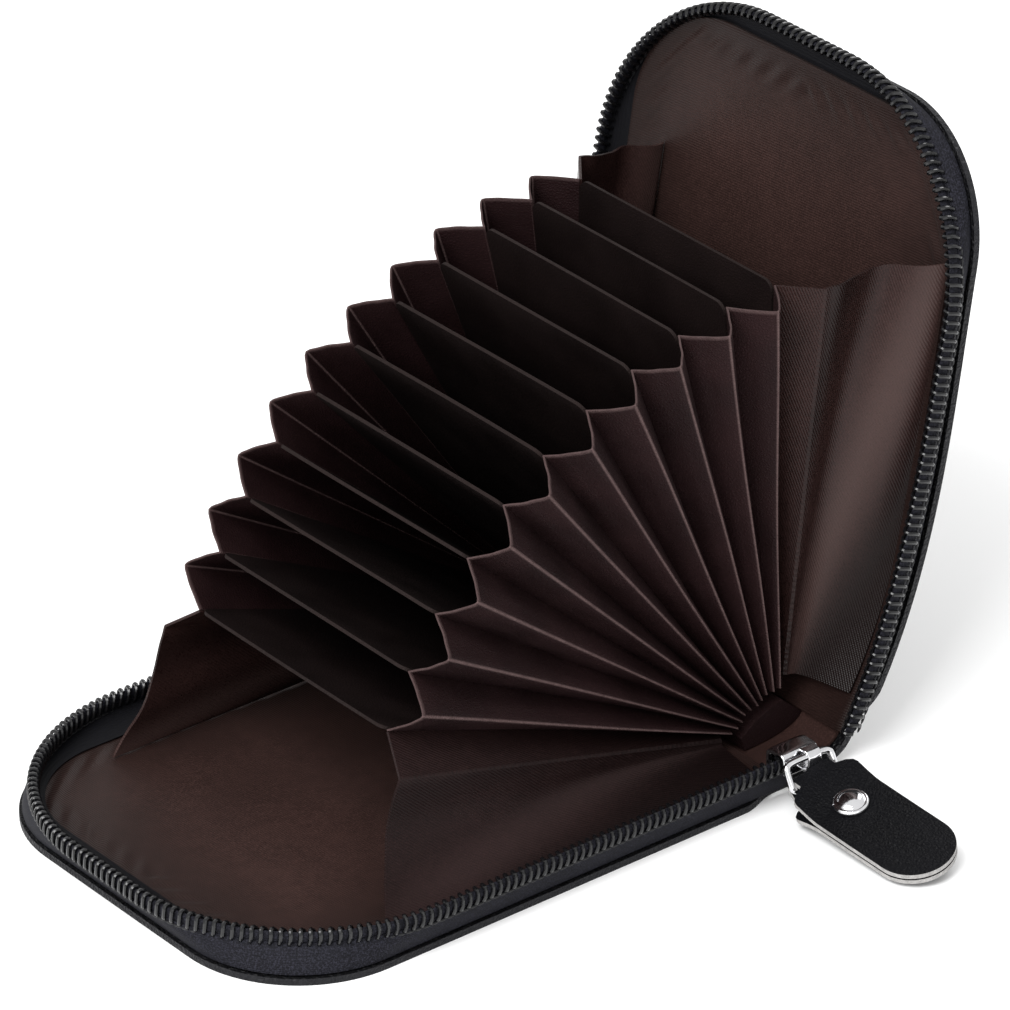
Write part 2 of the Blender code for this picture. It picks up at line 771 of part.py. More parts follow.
def make_slider(parent):
    """Two plates on either side of the chain, joined by a roof above the teeth."""
    low_x, high_x = SLIDER_X - SLIDER_LENGTH / 2, SLIDER_X + SLIDER_LENGTH / 2
    front = box_mesh(
        "slider_body", (low_x, SLIDER_FACE_Y, SLIDER_LOW), (high_x, SLIDER_OUTER_Y, SLIDER_HIGH),
    )
    body = new_part("slider_body", front, CHROME, parent)
    back_mesh = box_mesh(
        "slider_back", (low_x, SLIDER_INNER_Y, SLIDER_LOW),
        (high_x, SLIDER_INNER_Y + SLIDER_PLATE, SLIDER_HIGH),
    )
    roof_mesh = box_mesh(
        "slider_roof", (low_x, SLIDER_OUTER_Y - SLIDER_PLATE / 2, SLIDER_HIGH - SLIDER_ROOF),
        (high_x, SLIDER_INNER_Y + SLIDER_PLATE / 2, SLIDER_HIGH),
    )
    for mesh in (back_mesh, roof_mesh):
        combine(body, new_cutter(mesh.name, mesh, LOWER_PLACE), "UNION")
    round_edges(body, SLIDER_EDGE_ROUNDING)


def make_crown(parent):
    """The eye on the slider's face; the ring's upper bar turns in its bore."""
    half = CROWN_WIDTH / 2
    high_y = SLIDER_FACE_Y - CROWN_SEAT
    mesh = box_mesh(
        "slider_crown",
        (RING_PIVOT.x - half, high_y - CROWN_DEPTH, RING_PIVOT.z - CROWN_HEIGHT / 2),
        (RING_PIVOT.x + half, high_y, RING_PIVOT.z + CROWN_HEIGHT / 2),
    )
    crown = new_part("slider_crown", mesh, CHROME, parent)
    round_edges(crown, SLIDER_EDGE_ROUNDING)
    bore_mesh = cylinder_mesh("crown_bore", CROWN_BORE_RADIUS, 2 * CROWN_WIDTH, "X")
    combine(crown, new_cutter("crown_bore", bore_mesh, LOWER_PLACE @ Matrix.Translation(RING_PIVOT)), "DIFFERENCE")


def make_ring(parent):
    """A rectangular wire ring with round corners, hanging from its upper bar."""
    half, radius = RING_WIDTH / 2 - RING_WIRE_RADIUS, RING_CORNER_RADIUS
    outline = arc(half - radius, -radius, radius, 90, 0, 3)
    outline += arc(half - radius, -RING_LENGTH + radius, radius, 0, -90, 3)
    outline += arc(-half + radius, -RING_LENGTH + radius, radius, -90, -180, 3)
    outline += arc(-half + radius, -radius, radius, 180, 90, 3)
    curve = bpy.data.curves.new("pull_ring", "CURVE")
    curve.dimensions = "3D"
    curve.bevel_depth = RING_WIRE_RADIUS * MM
    curve.bevel_resolution = 2
    spline = curve.splines.new("POLY")
    spline.points.add(len(outline) - 1)
    lean = Matrix.Rotation(math.radians(-RING_LEAN), 4, "X")
    for point, (x, z) in zip(spline.points, outline):
        point.co = (*(lean @ Vector((x, 0, z)) * MM), 1.0)
    spline.use_cyclic_u = True
    new_part("pull_ring", curve_to_mesh("pull_ring", curve), CHROME, parent)


def tab_profile():
    """Middle line of the folded strip: under layer, round the ring's bar, upper layer.

    The profile lies in the YZ plane with the bar at the origin and the tab running to -Y.
    """
    rest = (TAB_LAYER_THICKNESS + TAB_LAYER_GAP) / 2
    radius = RING_WIRE_RADIUS + GAP + TAB_TILT_PLAY + TAB_LAYER_THICKNESS / 2
    converge = -TAB_CONVERGE_LENGTH
    under = [(-TAB_LENGTH - TAB_TRIM, -rest), (-TAB_LENGTH / 2, -rest), (converge, -rest), (-TAB_PLAY, -radius)]
    turn = arc(TAB_PLAY, 0.0, radius, -90, 90, 8)
    upper = [(y, -z) for y, z in reversed(under)]
    return under + turn + upper


def tab_outline():
    """The tab seen from above: a neck in the ring, shoulders, straight sides, a round tip."""
    half, neck = TAB_WIDTH / 2, TAB_NECK_WIDTH / 2
    shoulder = -(TAB_NECK_LENGTH + TAB_SHOULDER_LENGTH)
    top = TAB_CUT_DEPTH / 2
    outline = [(neck, top), (neck, -TAB_NECK_LENGTH)]
    outline += arc(0, -TAB_LENGTH + half, half, 0, -180, 12)
    outline.insert(2, (half, shoulder))
    outline += [(-half, shoulder), (-neck, -TAB_NECK_LENGTH), (-neck, top)]
    return outline


def tab_place():
    """The tab's frame: the bar at the origin, turned, tilted and drooping almost to the table."""
    roll = math.radians(TAB_ROLL)
    half_height = TAB_LAYER_THICKNESS + TAB_LAYER_GAP / 2
    low_edge = half_height + TAB_WIDTH / 2 * math.sin(roll)
    bar_height = RING_BAR.z + LEATHER_THICKNESS
    droop = math.asin((bar_height - low_edge - TAB_REST_CLEARANCE) / TAB_LENGTH)
    turn = Matrix.Rotation(math.radians(TAB_YAW), 4, "Z") @ Matrix.Rotation(droop, 4, "X")
    return turn @ Matrix.Rotation(-roll, 4, "Y")


def make_tab(parent, world_bar):
    """One strip of leather folded round the ring's bar, cut to a tongue and riveted."""
    place = tab_place()
    rows = [[(-TAB_WIDTH, y, z), (TAB_WIDTH, y, z)] for y, z in tab_profile()]
    tab = new_part("pull_tab", grid_mesh("pull_tab", rows), TAB_LEATHER, parent, place)
    modifier = tab.modifiers.new("Thickness", "SOLIDIFY")
    modifier.thickness = TAB_LAYER_THICKNESS * MM
    modifier.offset = 0.0
    modifier.use_even_offset = True
    tongue = outline_mesh("tab_tongue", tab_outline(), TAB_CUT_DEPTH)
    combine(tab, new_cutter("tab_tongue", tongue, world_bar @ place), "INTERSECT")
    hole_place = world_bar @ place @ Matrix.Translation((0, -RIVET_FROM_BAR, 0))
    hole = cylinder_mesh("tab_hole", RIVET_SHANK_RADIUS + RIVET_SEAT_GAP, TAB_CUT_DEPTH, "Z", 16)
    combine(tab, new_cutter("tab_hole", hole, hole_place), "DIFFERENCE")


def make_rivet(parent):
    """A dome rivet: a turned profile of head, shank and back plate."""
    top = TAB_LAYER_THICKNESS + TAB_LAYER_GAP / 2 + RIVET_SEAT_GAP
    profile = [(0.0, top + RIVET_HEAD_HEIGHT)]
    for i in range(1, 6):
        turn = math.pi / 2 * i / 5
        profile.append((RIVET_HEAD_RADIUS * math.sin(turn), top + RIVET_HEAD_HEIGHT * math.cos(turn)))
    profile += [
        (RIVET_SHANK_RADIUS, top),
        (RIVET_SHANK_RADIUS, -top),
        (RIVET_BACK_RADIUS, -top),
        (RIVET_BACK_RADIUS, -top - RIVET_BACK_THICKNESS),
        (0.0, -top - RIVET_BACK_THICKNESS),
    ]
    bm = bmesh.new()
    verts = [bm.verts.new((x * MM, 0, z * MM)) for x, z in profile]
    for a, b in zip(verts, verts[1:]):
        bm.edges.new((a, b))
    mesh = bpy.data.meshes.new("tab_rivet")
    bm.to_mesh(mesh)
    bm.free()
    place = tab_place() @ Matrix.Translation((0, -RIVET_FROM_BAR, 0))
    rivet = new_part("tab_rivet", mesh, CHROME, parent, place)
    screw = rivet.modifiers.new("Turned", "SCREW")
    screw.axis = "Z"
    screw.steps = 20
    screw.render_steps = 20
    screw.use_merge_vertices = True
    screw.merge_threshold = 0.00001


# The wallet

def shade(obj):
    if obj.type == "MESH":
        obj.data.shade_smooth()
        obj.data.set_sharp_from_angle(angle=math.radians(35))


def build_wallet():
    lower = new_empty("lower_fold", LOWER_PLACE)
    upper = new_empty("upper_fold", UPPER_PLACE)
    feet = leaf_feet()

    make_cover(LOWER_COVER, lower, LOWER_PLACE)
    make_cover(UPPER_COVER, upper, UPPER_PLACE)

    first = FOLD_CLEARANCE / (3 * SPINE_FLAT_HANDLE)
    last = 1.0 - FOLD_CLEARANCE / (3 * SPINE_RISE_HANDLE)
    make_spine_sheet(
        "spine_leather", lower, LEATHER, first, last, 0.0, LEATHER_THICKNESS, SPINE_HALF_WIDTH,
    )
    make_spine_sheet(
        "spine_lining", lower, LINING, SPINE_LINING_START, SPINE_LINING_END, SPINE_LINING_LIFT,
        LINING_THICKNESS, SPINE_LINING_HALF_WIDTH,
    )
    make_accordion_base(lower, feet)

    make_leaves(feet)
    make_pleats(feet)
    top = LEAF_COUNT - 1
    make_end_wall("lower_gusset_near", lower, LOWER_PLACE, feet[0], leaf_direction(0), NEAR, 0.0)
    make_end_wall("lower_gusset_far", lower, LOWER_PLACE, feet[0], leaf_direction(0), FAR, 0.0)
    # The upper cover's frame is turned about Z, so its near side is at +Y
    make_end_wall("upper_gusset_near", upper, UPPER_PLACE, feet[top], leaf_direction(top), FAR, UPPER_BOW)
    make_end_wall("upper_gusset_far", upper, UPPER_PLACE, feet[top], leaf_direction(top), NEAR, UPPER_BOW)

    make_slider(lower)
    make_crown(lower)
    ring_pivot = new_empty("ring_pivot", Matrix.Translation(RING_PIVOT), lower)
    make_ring(ring_pivot)
    tab_bar = new_empty("tab_bar", Matrix.Translation(RING_BAR), lower)
    make_tab(tab_bar, LOWER_PLACE @ Matrix.Translation(RING_BAR))
    make_rivet(tab_bar)

    for obj in PARTS.objects:
        shade(obj)
    bpy.context.view_layer.update()


clear_scene()
PARTS = new_collection("Zip card wallet")
CUTTERS = new_collection("Cutters")
LEATHER = new_material("Black grained leather", (0.010, 0.010, 0.011), 0.45)
BOARD = new_material("Grey board", (0.25, 0.22, 0.19), 0.9)
LINING = new_material("Brown ribbed lining", (0.045, 0.026, 0.022), 0.55)
TAPE = new_material("Charcoal zip tape", (0.020, 0.021, 0.026), 0.85)
COIL = new_material("Black nylon coil", (0.008, 0.008, 0.009), 0.25)
FOLD_FABRIC = new_material("Brown bound edge", (0.035, 0.022, 0.019), 0.6)
LEAF_LEATHER = new_material("Dark brown leaf", (0.030, 0.018, 0.015), 0.6)
PLEAT_LEATHER = new_material("Dark brown pleat", (0.038, 0.022, 0.018), 0.55)
END_FABRIC = new_material("Brown twill wall", (0.060, 0.036, 0.030), 0.5)
CHROME = new_material("Chrome", (0.80, 0.80, 0.82), 0.12, 1.0)
TAB_LEATHER = new_material("Black tab leather", (0.014, 0.014, 0.015), 0.5)
build_wallet()
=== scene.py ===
"""Zip-around card wallet, dressed: leather, zip, lining, pleated card pockets, slider and pull.

Every class is one sub-assembly of the wallet. Its sizes are in millimetres and match the solids of the
frame; MM turns them into metres where a mesh is made, and UV_UNIT into UV places. The lower cover lies on
the floor, the spine is on the +X side, and the slider is on the near side, at -Y.
"""

import logging
import math
from dataclasses import dataclass, field
from enum import Enum

import bpy
import numpy as np
from mathutils import Euler, Matrix, Vector


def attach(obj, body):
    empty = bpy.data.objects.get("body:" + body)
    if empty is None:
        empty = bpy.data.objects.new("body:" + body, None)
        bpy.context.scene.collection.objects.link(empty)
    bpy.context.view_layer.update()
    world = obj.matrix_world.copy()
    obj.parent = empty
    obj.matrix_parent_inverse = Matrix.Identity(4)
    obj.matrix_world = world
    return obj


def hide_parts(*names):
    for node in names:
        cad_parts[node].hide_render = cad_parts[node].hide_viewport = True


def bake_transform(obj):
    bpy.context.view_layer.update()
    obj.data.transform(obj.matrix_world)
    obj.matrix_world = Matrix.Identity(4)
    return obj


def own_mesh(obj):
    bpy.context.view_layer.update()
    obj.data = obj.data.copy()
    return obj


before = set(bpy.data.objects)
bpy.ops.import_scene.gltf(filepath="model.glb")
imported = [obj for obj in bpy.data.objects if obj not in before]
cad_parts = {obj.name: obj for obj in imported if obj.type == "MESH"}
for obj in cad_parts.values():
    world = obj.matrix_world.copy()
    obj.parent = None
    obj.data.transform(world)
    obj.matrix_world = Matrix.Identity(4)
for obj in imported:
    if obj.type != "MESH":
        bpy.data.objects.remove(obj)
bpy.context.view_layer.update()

MM = 0.001
UV_UNIT = 100.0
SMOOTH_BELOW = math.radians(38)
BEVEL_ABOVE = math.radians(45)
LOG = logging.getLogger("wallet")

Array = np.ndarray
Material = bpy.types.Material
Tree = bpy.types.NodeTree
Socket = bpy.types.NodeSocket
Triple = tuple[float, float, float]
Value = Socket | float | tuple


class Side(Enum):
    """The two sides of the wallet across the spine."""

    NEAR = -1
    FAR = 1


# Numpy surfaces

def turned(points: Array, matrix: Matrix) -> Array:
    """Points moved by a 4x4 matrix in millimetres; their last axis holds x, y and z."""
    grid = np.array(matrix)
    return points @ grid[:3, :3].T + grid[:3, 3]


def across_xz(angle: float | Array) -> Array:
    """Unit vectors in the XZ plane, at angles in degrees from +X towards +Z."""
    turn = np.radians(angle)
    return stacked(np.cos(turn), 0.0, np.sin(turn))


def unit(vectors: Array) -> Array:
    """Vectors divided by their lengths."""
    return vectors / np.linalg.norm(vectors, axis=-1, keepdims=True)


def stacked(*parts: Array | float) -> Array:
    """Coordinates broadcast against each other and stacked on a last axis."""
    return np.stack(np.broadcast_arrays(*parts), axis=-1).astype(float)


def held(share: Array) -> Array:
    """A share held between 0 and 1."""
    return np.clip(share, 0.0, 1.0)


def smooth(share: Array) -> Array:
    """A share eased at both ends: three of its squares less two of its cubes."""
    return share * share * (3.0 - 2.0 * share)


def bell(distance: Array, width: float) -> Array:
    """1 at no distance, falling off on both sides as a Gaussian bell."""
    return np.exp(-(distance / width) ** 2)


def signed_power(values: Array, power: float) -> Array:
    """The size of each value raised to a power, with the value's sign."""
    return np.sign(values) * np.abs(values) ** power


def edge_shares(count: int, reach: float = 0.999) -> Array:
    """Shares from -1 to 1 that crowd towards both ends, as a sine does."""
    return np.sin(np.linspace(-1.0, 1.0, count) * np.pi / 2 * reach)


def quarter(count: int) -> Array:
    """Sines of a quarter turn in even steps, which set points along a round corner."""
    return np.sin(np.linspace(0.0, np.pi / 2, count))


def corner_loss(reach: Array, radius: float) -> Array:
    """How far a round corner draws an edge in, at a distance beyond the corner's start."""
    return radius - np.sqrt(np.maximum(radius ** 2 - np.clip(reach, 0.0, radius) ** 2, 0.0))


def travelled(points: Array) -> Array:
    """Distance along lines of points from where each starts; the last axis but one runs along a line."""
    steps = np.linalg.norm(np.diff(points, axis=-2), axis=-1)
    return np.concatenate([np.zeros_like(steps[..., :1]), np.cumsum(steps, axis=-1)], axis=-1)


def grid_normals(points: Array) -> Array:
    """Unit normals of a grid: the cross product of its two finite differences."""
    return unit(np.cross(np.gradient(points, axis=0), np.gradient(points, axis=1)))


def grid_quads(rows: int, columns: int, wrap: bool = False, loop: bool = False) -> Array:
    """Quads of a grid of points.

    Args:
        rows: number of rows.
        columns: number of points in a row.
        wrap: joins the last column to the first.
        loop: joins the last row to the first.

    Returns:
        An array of quads, as indices into the flattened grid.
    """
    index = np.arange(rows * columns).reshape(rows, columns)
    if wrap:
        index = np.concatenate([index, index[:, :1]], axis=1)
    if loop:
        index = np.concatenate([index, index[:1]])
    corners = [index[:-1, :-1], index[1:, :-1], index[1:, 1:], index[:-1, 1:]]
    return np.stack(corners, axis=-1).reshape(-1, 4)


@dataclass
class Surface:
    """A closed mesh in millimetres.

    Attributes:
        points: count by 3.
        faces: count by 4; a triangle has two equal corners.
        uv: a UV place for each point.
        marks: values that finishes read, by attribute name and domain.
    """

    points: Array
    faces: Array
    uv: Array | None = None
    marks: dict[tuple[str, str], Array] = field(default_factory=dict)

    def face_out(self) -> None:
        """Turn the faces outwards, told by the sign of the volume."""
        corner = self.points[self.faces]
        volume = np.einsum("ij,ij->", corner[:, 0], np.cross(corner[:, 1], corner[:, 2]))
        volume += np.einsum("ij,ij->", corner[:, 0], np.cross(corner[:, 2], corner[:, 3]))
        if volume < 0:
            self.faces = self.faces[:, ::-1]


def shell(outer: Array, inner: Array, uv: Array | None = None) -> Surface:
    """A closed shell between two grids, with a strip of faces round their border.

    Args:
        outer: grid of points, rows by columns by 3.
        inner: grid of the same shape.
        uv: grid of UV places, used for both sides.

    Returns:
        The surface, whose border faces are marked.
    """
    rows, columns = outer.shape[:2]
    count = rows * columns
    quads = grid_quads(rows, columns)
    index = np.arange(count).reshape(rows, columns)
    rim = np.concatenate([index[0, :-1], index[:-1, -1], index[-1, :0:-1], index[:0:-1, 0]])
    after = np.roll(rim, -1)
    strip = np.stack([rim, after, after + count, rim + count], axis=-1)
    mark = np.repeat([0.0, 1.0], [2 * len(quads), len(strip)])
    both = None if uv is None else np.concatenate([uv.reshape(-1, 2)] * 2)
    points = np.concatenate([outer.reshape(-1, 3), inner.reshape(-1, 3)])
    faces = np.concatenate([quads, quads[:, ::-1] + count, strip])
    return Surface(points, faces, both, {("border", "FACE"): mark})


def plate(points: Array, thickness: float, normals: Array | None = None) -> Surface:
    """A shell of a thickness with a grid in its middle."""
    step = (grid_normals(points) if normals is None else normals) * thickness / 2
    return shell(points + step, points - step)


def capped(rings: Array, poles: Array) -> Surface:
    """A tube through rings of points, closed at each end by triangles to a pole.

    Args:
        rings: rings by points by 3.
        poles: the two poles.

    Returns:
        The surface.
    """
    rows, sides = rings.shape[:2]
    ring = np.arange(sides)
    after = np.roll(ring, -1)
    count = rows * sides
    last = count - sides
    start = np.stack([np.full(sides, count), ring, after, after], axis=-1)
    stop = np.stack([np.full(sides, count + 1), last + after, last + ring, last + ring], axis=-1)
    points = np.concatenate([rings.reshape(-1, 3), poles])
    return Surface(points, np.concatenate([grid_quads(rows, sides, wrap=True), start, stop]))


def tube(path: Array, radii: Array, side: Array, sides: int, closed: bool = False) -> Surface:
    """A tube carried along a path: a ring of points round each place, square to the direction of travel.

    Args:
        path: places, count by 3.
        radii: radius along the side vector and radius square to it, count by 2.
        side: a vector for each place, never along the path.
        sides: number of points in a ring.
        closed: joins the end to the start, else both ends get a cap.

    Returns:
        The surface.
    """
    if closed:
        along = unit(np.roll(path, -1, axis=0) - np.roll(path, 1, axis=0))
    else:
        along = unit(np.gradient(path, axis=0))
    first = unit(side - along * np.sum(side * along, axis=1, keepdims=True))
    second = np.cross(along, first)
    turn = np.linspace(0.0, 2 * np.pi, sides, endpoint=False)[None, :, None]
    rings = path[:, None] + (
        np.cos(turn) * (first * radii[:, :1])[:, None] + np.sin(turn) * (second * radii[:, 1:])[:, None]
    )
    if closed:
        return Surface(rings.reshape(-1, 3), grid_quads(len(path), sides, wrap=True, loop=True))
    return capped(rings, path[[0, -1]])


def softened(points: Array, rounds: int = 3) -> Array:
    """Lines whose corners are cut a few times over, each to a quarter and three quarters of a side."""
    for _ in range(rounds):
        start, end = points[:, :-1], points[:, 1:]
        cut = np.stack([0.75 * start + 0.25 * end, 0.25 * start + 0.75 * end], axis=2)
        points = np.concatenate([points[:, :1], cut.reshape(len(points), -1, 3), points[:, -1:]], axis=1)
    return points


# Objects

def link_object(name: str, data: bpy.types.ID) -> bpy.types.Object:
    """Make an object of a mesh, a light or a camera, and put it in the scene."""
    thing = bpy.data.objects.new(name, data)
    bpy.context.scene.collection.objects.link(thing)
    return thing


def add_piece(
    name: str, surface: Surface, material: Material, body: str = "", replaced: str = "",
    bevel: float = 0.0,
) -> bpy.types.Object:
    """Make a mesh object at the origin from a surface.

    Args:
        name: the object's name.
        surface: its points in millimetres and its faces.
        material: its finish.
        body: the body that it rides on, if it doesn't bend.
        replaced: the node that it replaces, if it is said here.
        bevel: width of its rounded edges in millimetres.

    Returns:
        The new object.
    """
    surface.face_out()
    mesh = bpy.data.meshes.new(name)
    faces = [face[:3] if face[2] == face[3] else face for face in surface.faces.tolist()]
    faces = [face[1:] if len(face) == 4 and face[0] == face[1] else face for face in faces]
    mesh.from_pydata((surface.points * MM).tolist(), [], faces)
    if surface.uv is not None:
        corners = np.empty(len(mesh.loops), dtype=np.int32)
        mesh.loops.foreach_get("vertex_index", corners)
        layer = mesh.uv_layers.new(name="UVMap")
        layer.data.foreach_set("uv", surface.uv[corners].astype(np.float32).ravel())
    for (label, domain), values in surface.marks.items():
        mark = mesh.attributes.new(label, "FLOAT", domain)
        mark.data.foreach_set("value", values.astype(np.float32))
    mesh.materials.append(material)
    mesh.shade_smooth()
    mesh.set_sharp_from_angle(angle=SMOOTH_BELOW)
    piece = link_object(name, mesh)
    if bevel:
        modifier = piece.modifiers.new("Rounded edges", "BEVEL")
        modifier.width = bevel * MM
        modifier.segments = 2
        modifier.limit_method = "ANGLE"
        modifier.angle_limit = BEVEL_ABOVE
    if body:
        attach(piece, body)
    if replaced:
        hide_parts(replaced)
    return piece


def paint(node: str, material: Material) -> None:
    """Give a carried-over solid its finish."""
    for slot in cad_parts[node].material_slots:
        slot.material = material


# Shader nodes

def tint(colour: Triple, share: float = 1.0) -> tuple[float, float, float, float]:
    """A colour at a share of its strength, with full alpha."""
    return (*(share * part for part in colour), 1.0)


class Nodes:
    """Short ways to place nodes in a tree; a Value is another node's socket, a number or a tuple."""

    def __init__(self, tree: Tree) -> None:
        """Work in a tree."""
        self.tree = tree

    def feed(self, socket: Socket, value: Value) -> None:
        """Link a socket to another one, or set its value."""
        if isinstance(value, Socket):
            self.tree.links.new(value, socket)
        else:
            socket.default_value = value

    def node(self, kind: str, inputs: dict[str | int, Value], **settings: object) -> bpy.types.NodeOutputs:
        """Place a node.

        Args:
            kind: its type, without the word ShaderNode.
            inputs: its inputs by name or number.
            settings: its properties.

        Returns:
            Its outputs.
        """
        node = self.tree.nodes.new("ShaderNode" + kind)
        for label, value in settings.items():
            setattr(node, label, value)
        for label, value in inputs.items():
            self.feed(node.inputs[label], value)
        return node.outputs

    def maths(self, operation: str, *values: Value, clamp: bool = False) -> Socket:
        """A Math node's output."""
        return self.node("Math", dict(enumerate(values)), operation=operation, use_clamp=clamp)[0]

    def times(self, first: Value, second: Value) -> Socket:
        """The product of two values."""
        return self.maths("MULTIPLY", first, second)

    def mix(self, share: Value, first: Value, second: Value) -> Socket:
        """A colour between two colours."""
        return self.node("Mix", {0: share, 6: first, 7: second}, data_type="RGBA")[2]

    def noise(self, vector: Socket, scale: Value, detail: float = 3.0) -> Socket:
        """A noise texture's value."""
        return self.node("TexNoise", {"Vector": vector, "Scale": scale, "Detail": detail})["Fac"]

    def ramp(self, value: Socket, low: float, high: float, first: float, last: float) -> Socket:
        """A value stretched from one range to another and held inside it."""
        return self.node("MapRange", dict(enumerate((value, low, high, first, last))))[0]

    def split(self, vector: Socket) -> bpy.types.NodeOutputs:
        """A vector's X, Y and Z."""
        return self.node("SeparateXYZ", {0: vector})

    def attribute(self, name: str) -> Socket:
        """The value of one of the mesh's attributes."""
        return self.node("Attribute", {}, attribute_name=name)["Fac"]

    def group(self, tree: Tree, vector: Socket, **values: Value) -> bpy.types.NodeOutputs:
        """The outputs of a node group, placed on a vector with its values."""
        return self.node("Group", {"Vector": vector, **values}, node_tree=tree)


def new_group(
    name: str, inputs: dict[str, float | tuple], outputs: tuple[str, ...],
) -> tuple[Nodes, bpy.types.NodeOutputs, bpy.types.NodeInputs]:
    """Start a shader node group that works on a vector.

    Args:
        name: the group's name.
        inputs: names and starting values of its other inputs; a tuple is a colour.
        outputs: names; one that ends in Colour is a colour, and the others are values.

    Returns:
        Its nodes, what comes in and what goes out.
    """
    tree = bpy.data.node_groups.new(name, "ShaderNodeTree")
    tree.interface.new_socket("Vector", in_out="INPUT", socket_type="NodeSocketVector")
    for label, value in inputs.items():
        kind = "NodeSocketColor" if isinstance(value, tuple) else "NodeSocketFloat"
        tree.interface.new_socket(label, in_out="INPUT", socket_type=kind).default_value = value
    for label in outputs:
        kind = "NodeSocketColor" if label.endswith("Colour") else "NodeSocketFloat"
        tree.interface.new_socket(label, in_out="OUTPUT", socket_type=kind)
    return Nodes(tree), tree.nodes.new("NodeGroupInput").outputs, tree.nodes.new("NodeGroupOutput").inputs


def grain_group() -> Tree:
    """Leather grain: rounded pebbles from cell edges, broken up by noise.

    Height is the pebbles' relief, and Crease is 1 in the creases between them.
    """
    net, start, end = new_group("Leather grain", {"Scale": 1200.0}, ("Height", "Crease"))
    place = {label: start[label] for label in ("Vector", "Scale")}
    cells = net.node("TexVoronoi", place, feature="DISTANCE_TO_EDGE")
    pebble = net.maths("MULTIPLY", cells["Distance"], 3.0, clamp=True)
    fine = net.noise(start["Vector"], net.times(start["Scale"], 2.3))
    net.feed(end["Height"], net.maths("ADD", pebble, net.times(fine, 0.5)))
    net.feed(end["Crease"], net.maths("SUBTRACT", 1.0, pebble))
    return net.tree


def ribs_group() -> Tree:
    """Parallel ribs crossed by fine threads, from sines of the two UV directions.

    Height is the woven relief, and Valley is 1 between the ribs.
    """
    inputs = {"Ribs": 100.0, "Threads": 300.0, "Slant": 0.0}
    net, start, end = new_group("Woven ribs", inputs, ("Height", "Valley"))
    place = net.split(start["Vector"])
    rise = net.maths("ADD", place["Y"], net.times(place["X"], start["Slant"]))
    rib = net.maths("SINE", net.times(net.times(rise, start["Ribs"]), 2 * math.pi))
    thread = net.maths("SINE", net.times(net.times(place["X"], start["Threads"]), 2 * math.pi))
    raised = net.maths("MULTIPLY_ADD", rib, 0.5, 0.5)
    net.feed(end["Height"], net.maths("MULTIPLY_ADD", thread, 0.12, raised))
    net.feed(end["Valley"], net.maths("SUBTRACT", 1.0, raised, clamp=True))
    return net.tree


def mottle_group() -> Tree:
    """Slow changes of tone: the middle of a soft noise stretched to 0 and 1."""
    net, start, end = new_group("Mottle", {"Scale": 60.0}, ("Value",))
    tone = net.noise(start["Vector"], start["Scale"], 4.0)
    net.feed(end["Value"], net.ramp(tone, 0.35, 0.65, 0.0, 1.0))
    return net.tree


def worn_group() -> Tree:
    """Wear: a worn colour over a base colour where a mask and a patchy noise meet."""
    inputs = {"Mask": 0.0, "Base": (0.0, 0.0, 0.0, 1.0), "Worn": (1.0, 1.0, 1.0, 1.0)}
    net, start, end = new_group("Worn edge", inputs, ("Colour",))
    patch = net.maths("MULTIPLY_ADD", net.noise(start["Vector"], 900.0, 5.0), 0.9, 0.45)
    share = net.maths("MULTIPLY", start["Mask"], patch, clamp=True)
    net.feed(end["Colour"], net.mix(share, start["Base"], start["Worn"]))
    return net.tree


@dataclass
class Groups:
    """The shared node groups, built once."""

    grain: Tree = field(default_factory=grain_group)
    ribs: Tree = field(default_factory=ribs_group)
    mottle: Tree = field(default_factory=mottle_group)
    worn: Tree = field(default_factory=worn_group)


class Canvas(Nodes):
    """The nodes of a new material."""

    def __init__(self, name: str) -> None:
        """Start the material, and find its shader and the places on the object."""
        self.material = bpy.data.materials.new(name)
        self.material.use_nodes = True
        super().__init__(self.material.node_tree)
        places = self.node("TexCoord", {})
        self.place, self.uv = places["Object"], places["UV"]

    def finished(self, inputs: dict[str, Value], height: Socket, depth: float) -> Material:
        """Feed the shader, with a relief whose depth is in millimetres."""
        bump = self.node("Bump", {"Height": height, "Distance": depth * MM})
        shader = self.tree.nodes["Principled BSDF"].inputs
        for label, value in {**inputs, "Normal": bump["Normal"]}.items():
            self.feed(shader[label], value)
        return self.material


# Finishes

